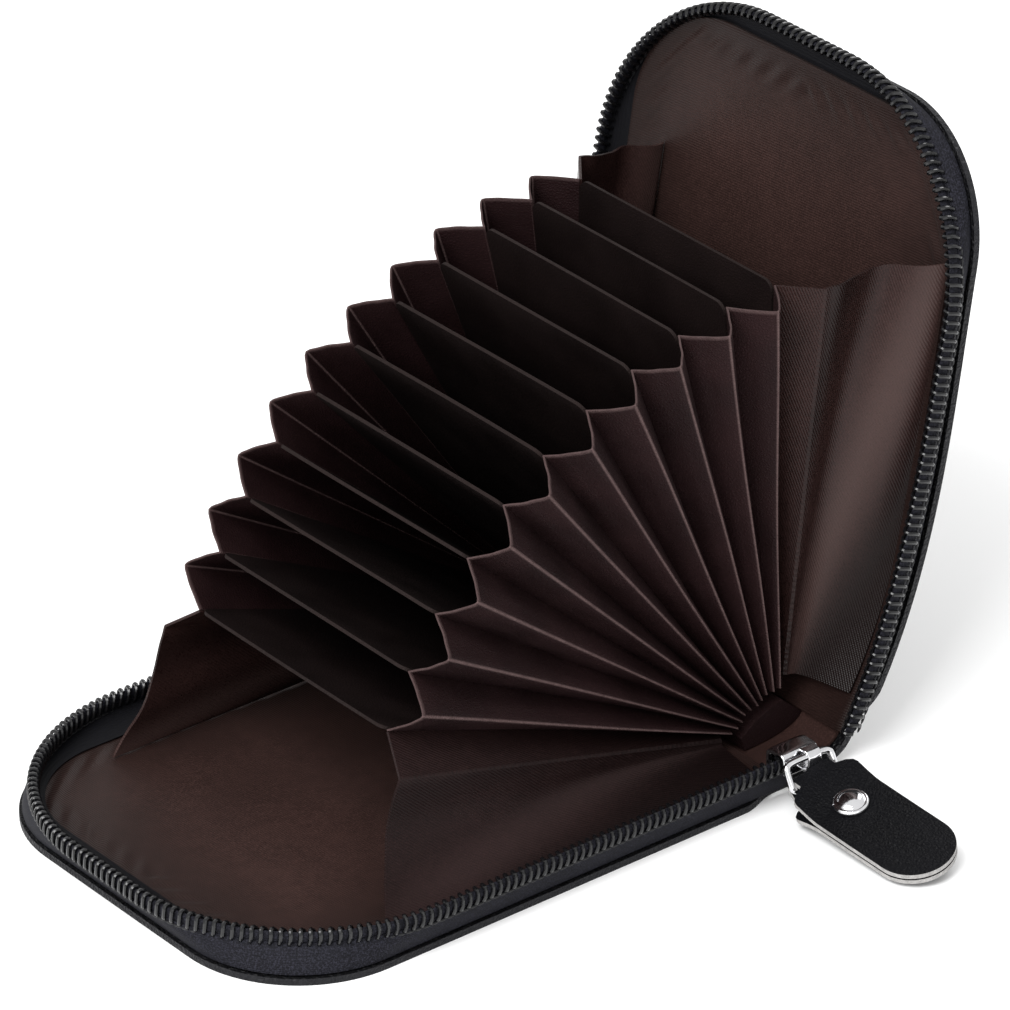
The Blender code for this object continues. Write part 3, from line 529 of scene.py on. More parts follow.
@dataclass(frozen=True)
class LeatherFinish:
    """Grained leather with worn folds; the folds are at UV places X 0.5 and Y 1."""

    name: str
    colour: Triple
    worn: Triple
    roughness: float
    grain: float = 1300.0
    depth: float = 0.12
    fold_wear: float = 0.0
    border_wear: float = 0.0
    gloss: float = 0.3
    uneven: float = 0.38

    def build(self, groups: Groups) -> Material:
        """Make the material."""
        net = Canvas(self.name)
        grain = net.group(groups.grain, net.place, Scale=self.grain)
        tone = net.group(groups.mottle, net.place, Scale=70.0)["Value"]
        dark = tint(self.colour, 1.0 - self.uneven)
        base = net.mix(tone, dark, tint(self.colour, 1.0 + 0.65 * self.uneven))
        base = net.mix(net.times(grain["Crease"], 0.5), base, dark)
        mask = net.times(net.attribute("border"), self.border_wear)
        if self.fold_wear:
            place = net.split(net.uv)
            off = net.maths("ABSOLUTE", net.maths("SUBTRACT", place["X"], 0.5))
            ridge = net.ramp(off, 0.008, 0.026, self.fold_wear, 0.0)
            mouth = net.ramp(place["Y"], 0.991, 0.997, 0.0, 0.6 * self.fold_wear)
            mask = net.maths("MAXIMUM", mask, net.maths("MAXIMUM", ridge, mouth))
        worn = net.group(groups.worn, net.place, Mask=mask, Base=base, Worn=tint(self.worn))
        swing = 0.2 * self.uneven
        rough = net.ramp(tone, 0.0, 1.0, self.roughness - swing, self.roughness + swing)
        rough = net.maths("ADD", rough, net.times(grain["Crease"], 0.15))
        shader = {"Base Color": worn["Colour"], "Roughness": rough, "Specular IOR Level": self.gloss}
        return net.finished(shader, grain["Height"], self.depth)


@dataclass(frozen=True)
class ClothFinish:
    """Woven or ribbed cloth; its UV places are in tenths of a metre.

    Attributes:
        valley: colour between the ribs.
        ribs: ribs in a tenth of a metre, and threads are the lines that cross them.
        speckle: share of light fuzz.
        foot_shade: painted shade: how dark the cloth gets towards UV place X 0, deep in a compartment.
        hollow: painted shade: how dark it gets where its mark is 1.
        painted_highlight_colour: colour of its painted satin highlight band, and gleam is how much of it shows
            where its mark is 1.
    """

    name: str
    colour: Triple
    valley: Triple
    ribs: float
    threads: float
    slant: float
    roughness: float
    sheen: float = 0.0
    gloss: float = 0.25
    speckle: float = 0.2
    foot_shade: float = 0.0
    hollow: float = 0.0
    painted_highlight_colour: Triple = (0.0, 0.0, 0.0)
    gleam: float = 0.0
    depth: float = 0.04

    def build(self, groups: Groups) -> Material:
        """Make the material."""
        net = Canvas(self.name)
        ribs = net.group(groups.ribs, net.uv, Ribs=self.ribs, Threads=self.threads, Slant=self.slant)
        tone = net.group(groups.mottle, net.place, Scale=45.0)["Value"]
        fuzz = net.noise(net.place, 3500.0)
        uneven = net.ramp(net.noise(net.place, 420.0), 0.35, 0.65, 0.15, 0.85)
        colour = net.mix(net.times(ribs["Valley"], uneven), tint(self.colour), tint(self.valley))
        colour = net.mix(net.times(tone, 0.55), colour, tint(self.colour, 0.45))
        # Painted shade: the cloth darkens towards UV place X 0, deep in a compartment.
        if self.foot_shade:
            painted_deep_shade = net.ramp(net.split(net.uv)["X"], 0.06, 0.50, self.foot_shade, 0.0)
            colour = net.mix(painted_deep_shade, colour, tint(self.colour, 0.12))
        # Painted highlight: a lighter satin sheen band where its mark is 1.
        if self.gleam:
            colour = net.mix(net.times(net.attribute("gleam"), self.gleam), colour, tint(self.painted_highlight_colour))
        colour = net.mix(net.ramp(fuzz, 0.45, 0.7, 0.0, self.speckle), colour, tint(self.colour, 3.2))
        # Painted shade: the cloth darkens to a fifth of its colour where its mark is 1.
        if self.hollow:
            colour = net.mix(net.times(net.attribute("hollow"), self.hollow), colour, tint(self.colour, 0.2))
        shader = {
            "Base Color": colour,
            "Roughness": net.ramp(fuzz, 0.3, 0.7, self.roughness - 0.08, self.roughness + 0.08),
            "Specular IOR Level": self.gloss, "Sheen Weight": self.sheen, "Sheen Roughness": 0.5,
        }
        return net.finished(shader, ribs["Height"], self.depth)


@dataclass(frozen=True)
class SmoothFinish:
    """Nylon or polished metal, faintly uneven and finely scratched."""

    name: str
    colour: Triple
    roughness: float
    metallic: float = 0.0
    marks: float = 0.05

    def build(self, groups: Groups) -> Material:
        """Make the material."""
        net = Canvas(self.name)
        tone = net.group(groups.mottle, net.place, Scale=220.0)["Value"]
        scratch = net.noise(net.place, 2600.0, 6.0)
        shader = {
            "Base Color": net.mix(tone, tint(self.colour, 0.8), tint(self.colour)),
            "Roughness": net.ramp(scratch, 0.35, 0.65, self.roughness, self.roughness + self.marks),
            "Metallic": self.metallic,
        }
        return net.finished(shader, scratch, 0.01)


class Finishes:
    """Every finish of the wallet, as built materials."""

    def __init__(self) -> None:
        """Build the materials."""
        groups = Groups()
        self.outer_leather = LeatherFinish(
            "Black grained leather", (0.0036, 0.0036, 0.0045), (0.022, 0.022, 0.026), 0.38, grain=1150.0,
            depth=0.22, border_wear=0.5, gloss=0.16, uneven=0.12,
        ).build(groups)
        self.tab_leather = LeatherFinish(
            "Tab leather", (0.0030, 0.0030, 0.0042), (0.42, 0.41, 0.40), 0.5, grain=1700.0, border_wear=1.0,
            gloss=0.09,
        ).build(groups)
        self.leaf_leather = LeatherFinish(
            "Leaf leather", (0.0070, 0.0038, 0.0036), (0.022, 0.015, 0.014), 0.6, grain=1900.0, depth=0.05,
            border_wear=0.5, gloss=0.08,
        ).build(groups)
        self.pleat_leather = LeatherFinish(
            "Pleat leather", (0.0150, 0.0062, 0.0066), (0.110, 0.072, 0.070), 0.52, grain=2000.0, depth=0.06,
            fold_wear=0.8, border_wear=0.3, gloss=0.10,
        ).build(groups)
        # The tape's inner face is darkened as painted shade where marked.
        self.tape = ClothFinish(
            "Zip tape", (0.0085, 0.0085, 0.0118), (0.0035, 0.0035, 0.0048), 330.0, 330.0, 0.0, 0.7,
            gloss=0.10, speckle=0.85, hollow=0.85,
        ).build(groups)
        # The lining darkens towards its border as painted shade where marked.
        self.lining = ClothFinish(
            "Ribbed lining", (0.033, 0.0165, 0.0140), (0.016, 0.0078, 0.0068), 235.0, 330.0, 0.06, 0.42,
            sheen=0.02, gloss=0.10, speckle=0.22, hollow=0.75,
        ).build(groups)
        # Painted shade darkens this cloth towards its foot and where marked, and a painted satin highlight band
        # lightens it where marked.
        self.wall_cloth = ClothFinish(
            "Twill wall", (0.025, 0.0120, 0.0108), (0.010, 0.0047, 0.0043), 205.0, 330.0, 0.45, 0.32,
            gloss=0.16, foot_shade=0.7, hollow=0.85, painted_highlight_colour=(0.0571, 0.03472, 0.031588), gleam=0.75,
        ).build(groups)
        # A darker copy of the twill wall, painted shade for the lower near wall; its marks also paint shade and
        # a satin highlight.
        self.shaded_wall_cloth = ClothFinish(
            "Shaded twill wall", (0.0165, 0.0085, 0.0082), (0.0070, 0.0036, 0.0035), 205.0, 330.0, 0.45,
            0.40, gloss=0.08, foot_shade=0.6, hollow=0.5, painted_highlight_colour=(0.04231, 0.025585, 0.024802), gleam=0.35,
        ).build(groups)
        self.nylon = SmoothFinish("Coil nylon", (0.0045, 0.0045, 0.0052), 0.16, marks=0.12).build(groups)
        self.thread = SmoothFinish("Sewing thread", (0.006, 0.006, 0.0075), 0.6, marks=0.2).build(groups)
        self.chrome = SmoothFinish("Chrome", (0.90, 0.90, 0.92), 0.07, metallic=1.0, marks=0.06).build(groups)
        self.board = ClothFinish(
            "Grey board", (0.25, 0.22, 0.19), (0.18, 0.16, 0.14), 300.0, 500.0, 0.3, 0.9, depth=0.02,
        ).build(groups)


# Layout of the wallet

@dataclass(frozen=True)
class Layout:
    """The sizes that several sub-assemblies share, and the frames of the two covers."""

    cover_length: float = 101.5
    cover_width: float = 82.0
    corner_radius: float = 22.0
    leather: float = 1.2
    fold_spacing: float = 17.1
    spine_tilt: float = 17.7
    opening: float = 105.0

    @property
    def corner_start(self) -> float:
        """Where a cover's round corners start, along its own X."""
        return self.corner_radius - self.cover_length

    @property
    def lower_fold(self) -> Array:
        """The lower fold line, on the leather's inner face."""
        return np.array([self.cover_length / 2, 0.0, self.leather])

    @property
    def upper_fold(self) -> Array:
        """The upper fold line."""
        return self.lower_fold + self.fold_spacing * across_xz(self.spine_tilt)

    @property
    def lower_place(self) -> Matrix:
        """The lower cover's frame: the fold at the origin, the cover towards -X."""
        return Matrix.Translation(self.lower_fold)

    @property
    def upper_place(self) -> Matrix:
        """The upper cover's frame: its near side is at +Y."""
        turn = Euler((0.0, math.radians(180.0 - self.opening), math.radians(180.0))).to_matrix()
        return Matrix.Translation(self.upper_fold) @ turn.to_4x4()

    @property
    def upper_rise(self) -> Array:
        """The direction in which the upper cover stands."""
        return across_xz(180.0 - self.opening)


def rounded_path(
    half: float, end: float, radius: float, tails: tuple[float, float],
) -> tuple[Array, Array]:
    """A rounded rectangle open at the fold: a side, a quarter circle, the end, and back again.

    Args:
        half: half its width.
        end: how far it reaches from the fold.
        radius: of its corners.
        tails: where its two sides start, along X.

    Returns:
        Places and outward normals, count by 3 each, at the same shares for every rectangle.
    """
    side = np.linspace(0.0, 1.0, 40, endpoint=False)
    turn = np.linspace(0.0, np.pi / 2, 25)
    run = np.linspace(-1.0, 1.0, 14)[1:-1]
    centre_x, centre_y = radius - end, half - radius

    def one_side(sign: float, tail: float) -> tuple[Array, Array]:
        """The straight side and the corner on one side of the wallet."""
        straight = stacked(tail + (centre_x - tail) * side, sign * half, 0.0)
        normal = stacked(-np.sin(turn), sign * np.cos(turn), 0.0)
        corner = np.array([centre_x, sign * centre_y, 0.0]) + radius * normal
        flat = stacked(0.0 * side, sign, 0.0)
        return np.concatenate([straight, corner]), np.concatenate([flat, normal])

    near, near_normal = one_side(-1.0, tails[0])
    far, far_normal = one_side(1.0, tails[1])
    places = np.concatenate([near, stacked(-end, centre_y * run, 0.0), far[::-1]])
    normals = np.concatenate([near_normal, stacked(-1.0, 0.0 * run, 0.0), far_normal[::-1]])
    return places, normals


@dataclass
class Cover:
    """One cover: lining, tape wall, coil and sewing, built in the cover's own frame.

    Attributes:
        bow: how far the cover bows outwards.
        rim: height of the coil's top above the leather.
        flare: how far the rim leans out on the sides.
        tails: where the chain's two ends are, along X.
        turn_in: how far the tape's foot turns in over the lining.
        lining_lift: how far the lining's border climbs the tape.
    """

    layout: Layout
    finishes: Finishes
    prefix: str
    place: Matrix
    bow: float
    rim: float
    flare: float
    tails: tuple[float, float]
    turn_in: float
    lining_lift: float
    end_flare: float = 2.2
    rim_radius: float = 33.5
    rim_share_of_bow: float = 0.75
    tape_inset: float = 0.5
    tape_thickness: float = 0.6
    tape_low: float = 0.3
    tape_swell: float = 0.28
    tape_overlap: float = 0.8
    tail_taper: float = 16.0
    coil_height: float = 3.2
    coil_depth: float = 2.2
    coil_wire: float = 0.34
    head_push: float = 0.34
    tooth_pitch: float = 1.5
    lining_inset: float = 2.2
    lining_reach: float = 1.0
    lining_low: float = 1.4
    lining_thickness: float = 0.5
    lining_ease: float = 0.22
    lining_pucker: float = 0.30

    @property
    def body(self) -> str:
        """The body that the cover's pieces ride on."""
        return self.prefix + "_cover"

    @property
    def coil_low(self) -> float:
        """Height of the coil's foot above the leather."""
        return self.rim - self.coil_height

    @property
    def lining_top(self) -> float:
        """Height of the lining's face above the leather."""
        return self.lining_low + self.lining_thickness

    def bow_at(self, x: Array) -> Array:
        """Outward bow: a cubic hump with its peak a third of the way from the fold."""
        share = held(-x / self.layout.cover_length)
        return self.bow * 6.75 * share * (1.0 - share) ** 2

    def rim_drop(self, x: Array, z: Array | float) -> Array:
        """The share of the bow that reaches a height of the tape wall."""
        reach = np.minimum(z / self.coil_low, 1.0)
        return self.bow_at(x) * (1.0 - (1.0 - self.rim_share_of_bow) * reach)

    def half_width(self, x: Array, inset: float) -> Array:
        """Half the cover's width at a distance from the fold, with round free corners."""
        size = self.layout
        return size.cover_width / 2 - inset - corner_loss(size.corner_start - x, size.corner_radius - inset)

    def add(
        self, name: str, surface: Surface, material: Material, slot: str, replaced: str = "",
        bevel: float = 0.0,
    ) -> None:
        """Add a piece that rides on this cover."""
        surface.points = turned(surface.points, self.place)
        node = self.prefix + replaced if replaced else ""
        add_piece(self.prefix + name, surface, material, self.body, node, bevel)

    def outlines(self) -> tuple[Array, Array, Array]:
        """The tape's foot, the rim's outer line, and the outward normals."""
        size, inset = self.layout, self.tape_inset
        foot, _ = rounded_path(
            size.cover_width / 2 - inset, size.cover_length - inset, size.corner_radius - inset, self.tails,
        )
        rim, normals = rounded_path(
            size.cover_width / 2 + self.flare, size.cover_length + self.end_flare, self.rim_radius, self.tails,
        )
        return foot, rim, normals

    def build_tape(self) -> None:
        """The woven wall: foot and rim outlines joined by a line that starts upright and leans over.

        Inside, the tape's foot turns in over the lining's border by the square of its depth.
        """
        foot, rim, normals = self.outlines()
        level = np.linspace(0.0, 1.0, 14)
        lean = (level ** 1.3)[None, :, None]
        outer = foot[:, None] * (1.0 - lean) + rim[:, None] * lean
        outer[..., 2] = self.tape_low + (self.coil_low + self.tape_overlap - self.tape_low) * level
        outer[..., 2] -= self.rim_drop(outer[..., 0], outer[..., 2])
        outer = outer + self.tape_swell * np.sin(np.pi * level)[None, :, None] * normals[:, None]
        run = travelled(foot)
        tails = held(np.minimum(run, run[-1] - run) / self.tail_taper)[:, None] ** 2
        turn_in = self.turn_in * tails * held(1.0 - level / 0.7) ** 2
        inner = outer - normals[:, None] * (self.tape_thickness + turn_in)[..., None]
        inner[..., 2] += self.lining_top * tails * (1.0 - level)
        surface = shell(outer, inner, stacked(run[:, None], self.coil_low * level[None, :]) / UV_UNIT)
        # Marks the whole inner face for painted shade.
        surface.marks["hollow", "POINT"] = np.repeat([0.0, 1.0], outer.size // 3)
        self.add("_tape_cloth", surface, self.finishes.tape, "zip_tape", "_zip_tape", bevel=0.1)

    def even_rim(self, per_turn: int) -> tuple[Array, Array, Array]:
        """The chain's middle line at even steps.

        Args:
            per_turn: number of steps to each tooth.

        Returns:
            Places, outward normals, and the number of turns travelled at each place.
        """
        _, rim, normals = self.outlines()
        middle = rim - normals * self.tape_thickness / 2
        run = travelled(middle)
        turns = int(run[-1] / self.tooth_pitch)
        wanted = np.linspace(0.0, turns * self.tooth_pitch, turns * per_turn + 1)
        place, normal = (
            stacked(*(np.interp(wanted, run, line[:, axis]) for axis in range(3))) for line in (middle, normals)
        )
        return place, unit(normal), wanted / self.tooth_pitch

    def build_coil(self) -> None:
        """The nylon coil: a flattened helix that wraps the rim once for each tooth, round a cord.

        Its place is the rim's middle line plus a rounded rectangle of the turn's angle, across and up.
        The head of each turn is pushed along the rim, so that a turn looks like a chevron from outside.
        """
        place, normal, turns = self.even_rim(16)
        angle = -2 * np.pi * turns
        wire = self.coil_wire
        wide, tall = self.coil_depth / 2 - wire, self.coil_height / 2 - wire
        centre = self.coil_low + self.coil_height / 2
        along = unit(np.gradient(place, axis=0))
        head = held(np.sin(angle))
        path = place + normal * (wide * signed_power(np.cos(angle), 0.6))[:, None]
        path = path + along * (self.head_push * head ** 2)[:, None]
        path[:, 2] = centre + tall * signed_power(np.sin(angle), 0.85) - self.rim_drop(path[:, 0], self.rim)
        surface = tube(path, stacked(wire + 0.04 * head, wire - 0.02), along, 7)
        self.add("_coil_turns", surface, self.finishes.nylon, "zip_coil", "_zip_coil")
        core = place[::8] + [0.0, 0.0, centre]
        core[:, 2] -= self.rim_drop(core[:, 0], self.rim)
        surface = tube(core, np.tile([wide - 0.36, tall - 0.30], (len(core), 1)), normal[::8], 10)
        self.add("_coil_cord", surface, self.finishes.tape, "zip_coil")

    def build_sewing(self) -> None:
        """The two rows of stitches under the coil: a thread that swells once for each stitch."""
        place, normal, turns = self.even_rim(8)
        pulse = np.abs(np.sin(np.pi * turns)) ** 0.7
        radii = np.repeat((0.06 + 0.17 * pulse)[:, None], 2, axis=1)
        for label, side in (("outer", 1), ("inner", -1)):
            path = place + normal * (side * self.tape_thickness / 2 * 1.15)
            path[:, 2] = self.coil_low + 0.02 - self.rim_drop(path[:, 0], self.coil_low)
            self.add(f"_{label}_stitches", tube(path, radii, normal, 6), self.finishes.thread, "zip_coil")

    def build_lining(self) -> None:
        """The lining: a sheet over the board, puckered along its seam and a little uneven.

        Its height is its own level, less a rolled border, plus slow waves and the border's climb.
        """
        size, inset = self.layout, self.lining_inset
        straight = np.linspace(self.lining_reach, size.corner_start, 90)[:-1]
        bend = size.corner_start - (size.corner_radius - inset) * quarter(44)
        x = np.concatenate([straight, bend])[:, None]
        half = self.half_width(x, inset)
        y = half * edge_shares(97, 0.995)
        edge = np.minimum(half - np.abs(y), x + size.cover_length - inset)
        border = held(1.0 - edge / 8.0)
        ease = self.lining_ease * np.sin(x / 8.0 + y / 13.0) * np.cos(y / 11.0 - x / 21.0)
        pucker = self.lining_pucker * np.sin(1.15 * x - 1.3 * np.abs(y)) * bell(edge - 4.6, 1.8)
        height = self.lining_top - 0.25 * held(1.0 - edge / 1.2) ** 2 + ease * held(edge / 8.0)
        height = height + self.lining_lift * border ** 2 * held(-x / 40.0)
        height = height + np.where(x < -30.0, pucker, 0.0) - self.bow_at(x)
        top = stacked(x, y, height)
        floor = stacked(x, y, self.lining_low - 0.2 - self.bow_at(x))
        surface = shell(top, floor, top[..., 1::-1] / UV_UNIT)
        # Marks the border for painted shade, fading out 20 mm in.
        surface.marks["hollow", "POINT"] = np.tile(held(1.0 - edge / 20.0).ravel(), 2)
        self.add("_lining_cloth", surface, self.finishes.lining, "ribbed_lining", "_lining")

    def build(self) -> None:
        """Build the whole cover and finish its hidden board."""
        self.build_tape()
        self.build_coil()
        self.build_sewing()
        self.build_lining()
        paint(self.prefix + "_board", self.finishes.board)
        paint(self.prefix + "_top_stop", self.finishes.chrome)


@dataclass
class LeatherSkin:
    """The outer leather: two sheets that meet in the middle of the spine and bend at its folds."""

    layout: Layout
    finishes: Finishes
    upper_cover: Cover
    flat_handle: float = 13.0
    rise_handle: float = 4.5
    spine_half: float = 39.0
    taper: float = 7.0
    fold_reach: float = 3.0

    def spine_line(self, shares: Array) -> Array:
        """The spine's outer line, as a cubic curve from fold to fold."""
        out = across_xz(180.0 - self.layout.opening + 90.0)
        end = self.layout.upper_fold - self.layout.lower_fold - self.layout.leather * out
        start = np.array([0.0, 0.0, -self.layout.leather])
        handles = start + [self.flat_handle, 0, 0], end - self.rise_handle * self.layout.upper_rise
        rest = 1.0 - shares
        weights = (rest ** 3, 3 * rest ** 2 * shares, 3 * rest * shares ** 2, shares ** 3)
        return sum(w[:, None] * c for w, c in zip(weights, (start, *handles, end))) + self.layout.lower_fold

    def add_sheet(self, name: str, line: Array, half: Array) -> bpy.types.Object:
        """A sheet carried along a line in the XZ plane: outer face on the line, thickness inwards.

        The rows of points crowd towards the sheet's edges, where it is rounded.
        """
        along = unit(np.gradient(line, axis=0))
        inward = stacked(-along[:, 2], 0.0, along[:, 0])
        wide = half[:, None] * edge_shares(41)
        outer = line[:, None] + stacked(0.0, wide, 0.0)
        inner = outer + inward[:, None] * self.layout.leather
        surface = shell(outer, inner, stacked(travelled(line)[:, None], wide) / UV_UNIT)
        return add_piece(name, surface, self.finishes.outer_leather, bevel=0.35)

    def cover_half(self, x: Array) -> Array:
        """Half the leather's width: the cover's, narrowing smoothly to the spine's at the fold."""
        share = smooth(held((x + self.taper) / self.taper))
        half = self.upper_cover.half_width(np.minimum(x, 0.0), 0.0)
        return half + (self.spine_half - self.layout.cover_width / 2) * share

    def build(self) -> None:
        """Build both sheets, each shaped to curve across its own fold."""
        size = self.layout
        bend = size.corner_start - size.corner_radius * quarter(24)[::-1]
        x = np.concatenate([bend, np.linspace(size.corner_start, 0.0, 50)[1:]])
        shares = np.linspace(0.0, 1.0, 49)
        spine_half = np.full(24, self.spine_half)

        flat = stacked(x, 0.0, -size.leather) + size.lower_fold
        line = np.concatenate([flat, self.spine_line(shares[1:25])])
        lower = self.add_sheet("lower_leather_skin", line, np.concatenate([self.cover_half(x), spine_half]))
        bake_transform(lower)
        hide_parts("lower_leather", "spine_leather")

        x = x[::-1]
        own = stacked(x, 0.0, -size.leather - self.upper_cover.bow_at(x))
        line = np.concatenate([self.spine_line(shares[24:-1]), turned(own, size.upper_place)])
        upper = self.add_sheet("upper_leather_skin", line, np.concatenate([spine_half, self.cover_half(x)]))
        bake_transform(upper)
        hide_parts("upper_leather")
        paint("spine_lining", self.finishes.lining)
        paint("accordion_base", self.finishes.pleat_leather)


@dataclass
class Accordion:
    """Eleven stiff leaves, and the pleated walls that join each to the next."""

    layout: Layout
    finishes: Finishes
    count: int = 11
    middle: int = 5
    thickness: float = 0.5
    length: float = 72.5
    width: float = 47.5
    corner: float = 2.0
    lowest_angle: float = 20.0
    step_angle: float = 7.1
    pitch: float = 1.0
    middle_x: float = 5.7
    middle_z: float = 8.0
    hem: float = 3.0
    warp: float = 0.16
    pleat_thickness: float = 0.3
    pleat_start: float = 2.0
    pleat_seam: float = 0.06
    depth_at_foot: float = 4.9
    depth_at_mouth: float = 6.4
    belly: float = 0.35
    ridge_round: float = 0.05

    @property
    def angles(self) -> Array:
        """Each leaf's angle above the lower cover, in degrees."""
        return self.lowest_angle + self.step_angle * np.arange(self.count)

    @property
    def feet(self) -> Array:
        """Where the leaves turn: a pitch apart, on a line that bends half as much as the leaves do."""
        step = self.pitch * across_xz((self.layout.spine_tilt + 90.0 - self.angles) / 2)
        middle = np.array([self.layout.lower_fold[0] + self.middle_x, 0.0, self.middle_z])
        below = middle - np.cumsum(step[self.middle:0:-1], axis=0)
        above = middle + np.cumsum(step[self.middle:-1], axis=0)
        return np.concatenate([below[::-1], middle[None], above])

    @property
    def directions(self) -> Array:
        """Unit vectors from the leaves' feet to their mouths."""
        return across_xz(180.0 - self.angles)

    def depth_at(self, reach: Array) -> Array:
        """How far the pleats stand out at a distance from the leaves' feet."""
        return self.depth_at_foot + (self.depth_at_mouth - self.depth_at_foot) * reach / self.length

    def build_leaf(self, index: int) -> None:
        """A leaf: a plate with round mouth corners, thicker at its turned mouth, and faintly warped."""
        straight = np.linspace(0.0, self.length - self.corner, 30)[:-1]
        tip = self.length - self.corner + self.corner * quarter(7)
        reach = np.concatenate([straight, tip])
        half = self.width / 2 - corner_loss(reach - (self.length - self.corner), self.corner)
        y = half[:, None] * edge_shares(25)
        hem = held((reach - (self.length - self.hem)) / 0.4)
        thick = (self.thickness / 2 + 0.03 * hem)[:, None]
        warp = self.warp * np.sin(reach / 13.0 + index)[:, None] * np.cos(y / 15.0 + 0.7 * index)
        along = self.directions[index]
        normal = np.array([along[2], 0.0, -along[0]])
        flat = self.feet[index] + reach[:, None, None] * along + stacked(0.0, y, 0.0)
        surface = shell(flat + (warp + thick)[..., None] * normal, flat + (warp - thick)[..., None] * normal)
        add_piece(
            f"leaf_{index}_leather", surface, self.finishes.leaf_leather, f"leaf_{index}",
            f"divider_{index}", bevel=0.12,
        )

    def build_pleat(self, index: int, side: Side) -> None:
        """One V of the pleated wall between two leaves.

        Across the V a point's share runs from -1 to 1, its outward depth is the pleat's depth times one
        minus a rounded share, and both panels belly out a little and carry faint pressing marks.
        """
        ends = [(self.feet[leaf], self.directions[leaf]) for leaf in (index, index + 1)]
        reach = np.linspace(self.pleat_start, self.length - 0.3, 40)[:, None]
        share = edge_shares(31, 1.0) * 0.6 + np.linspace(-1.0, 1.0, 31) * 0.4
        low, high = (foot + reach * way for foot, way in ends)
        margin = self.pleat_seam / np.linalg.norm(high - low, axis=1)[:, None]
        place = margin + (1.0 - 2.0 * margin) * (1.0 + share) / 2
        grid = low[:, None] * (1.0 - place[..., None]) + high[:, None] * place[..., None]
        travel = reach / self.length
        depth = self.depth_at(reach) + 0.28 * np.sin(reach / 11.0 + 1.7 * index + side.value)
        blunt = np.sqrt(share ** 2 + self.ridge_round ** 2) - self.ridge_round
        panel = np.sin(np.pi * np.minimum(blunt, 1.0))
        marks = 0.13 * np.sin(11.0 * share + 1.3 * index) * np.sin(2.2 * np.pi * travel + index)
        outward = depth * (1.0 - blunt / blunt[-1]) + panel * (self.belly * travel + marks)
        grid[..., 1] = side.value * (self.width / 2 + 0.25 + outward)
        inner = grid + grid_normals(grid) * side.value * self.pleat_thickness
        surface = shell(grid, inner, stacked(place, travel / travel[-1]))
        word = side.name.lower()
        piece = add_piece(f"pleat_{word}_{index}", surface, self.finishes.pleat_leather, bevel=0.06)
        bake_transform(piece)
        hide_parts(f"gusset_{word}_{index}")

    def build(self) -> None:
        """Build the leaves and both rows of pleats."""
        for index in range(self.count):
            self.build_leaf(index)
        for index in range(self.count - 1):
            for side in Side:
                self.build_pleat(index, side)


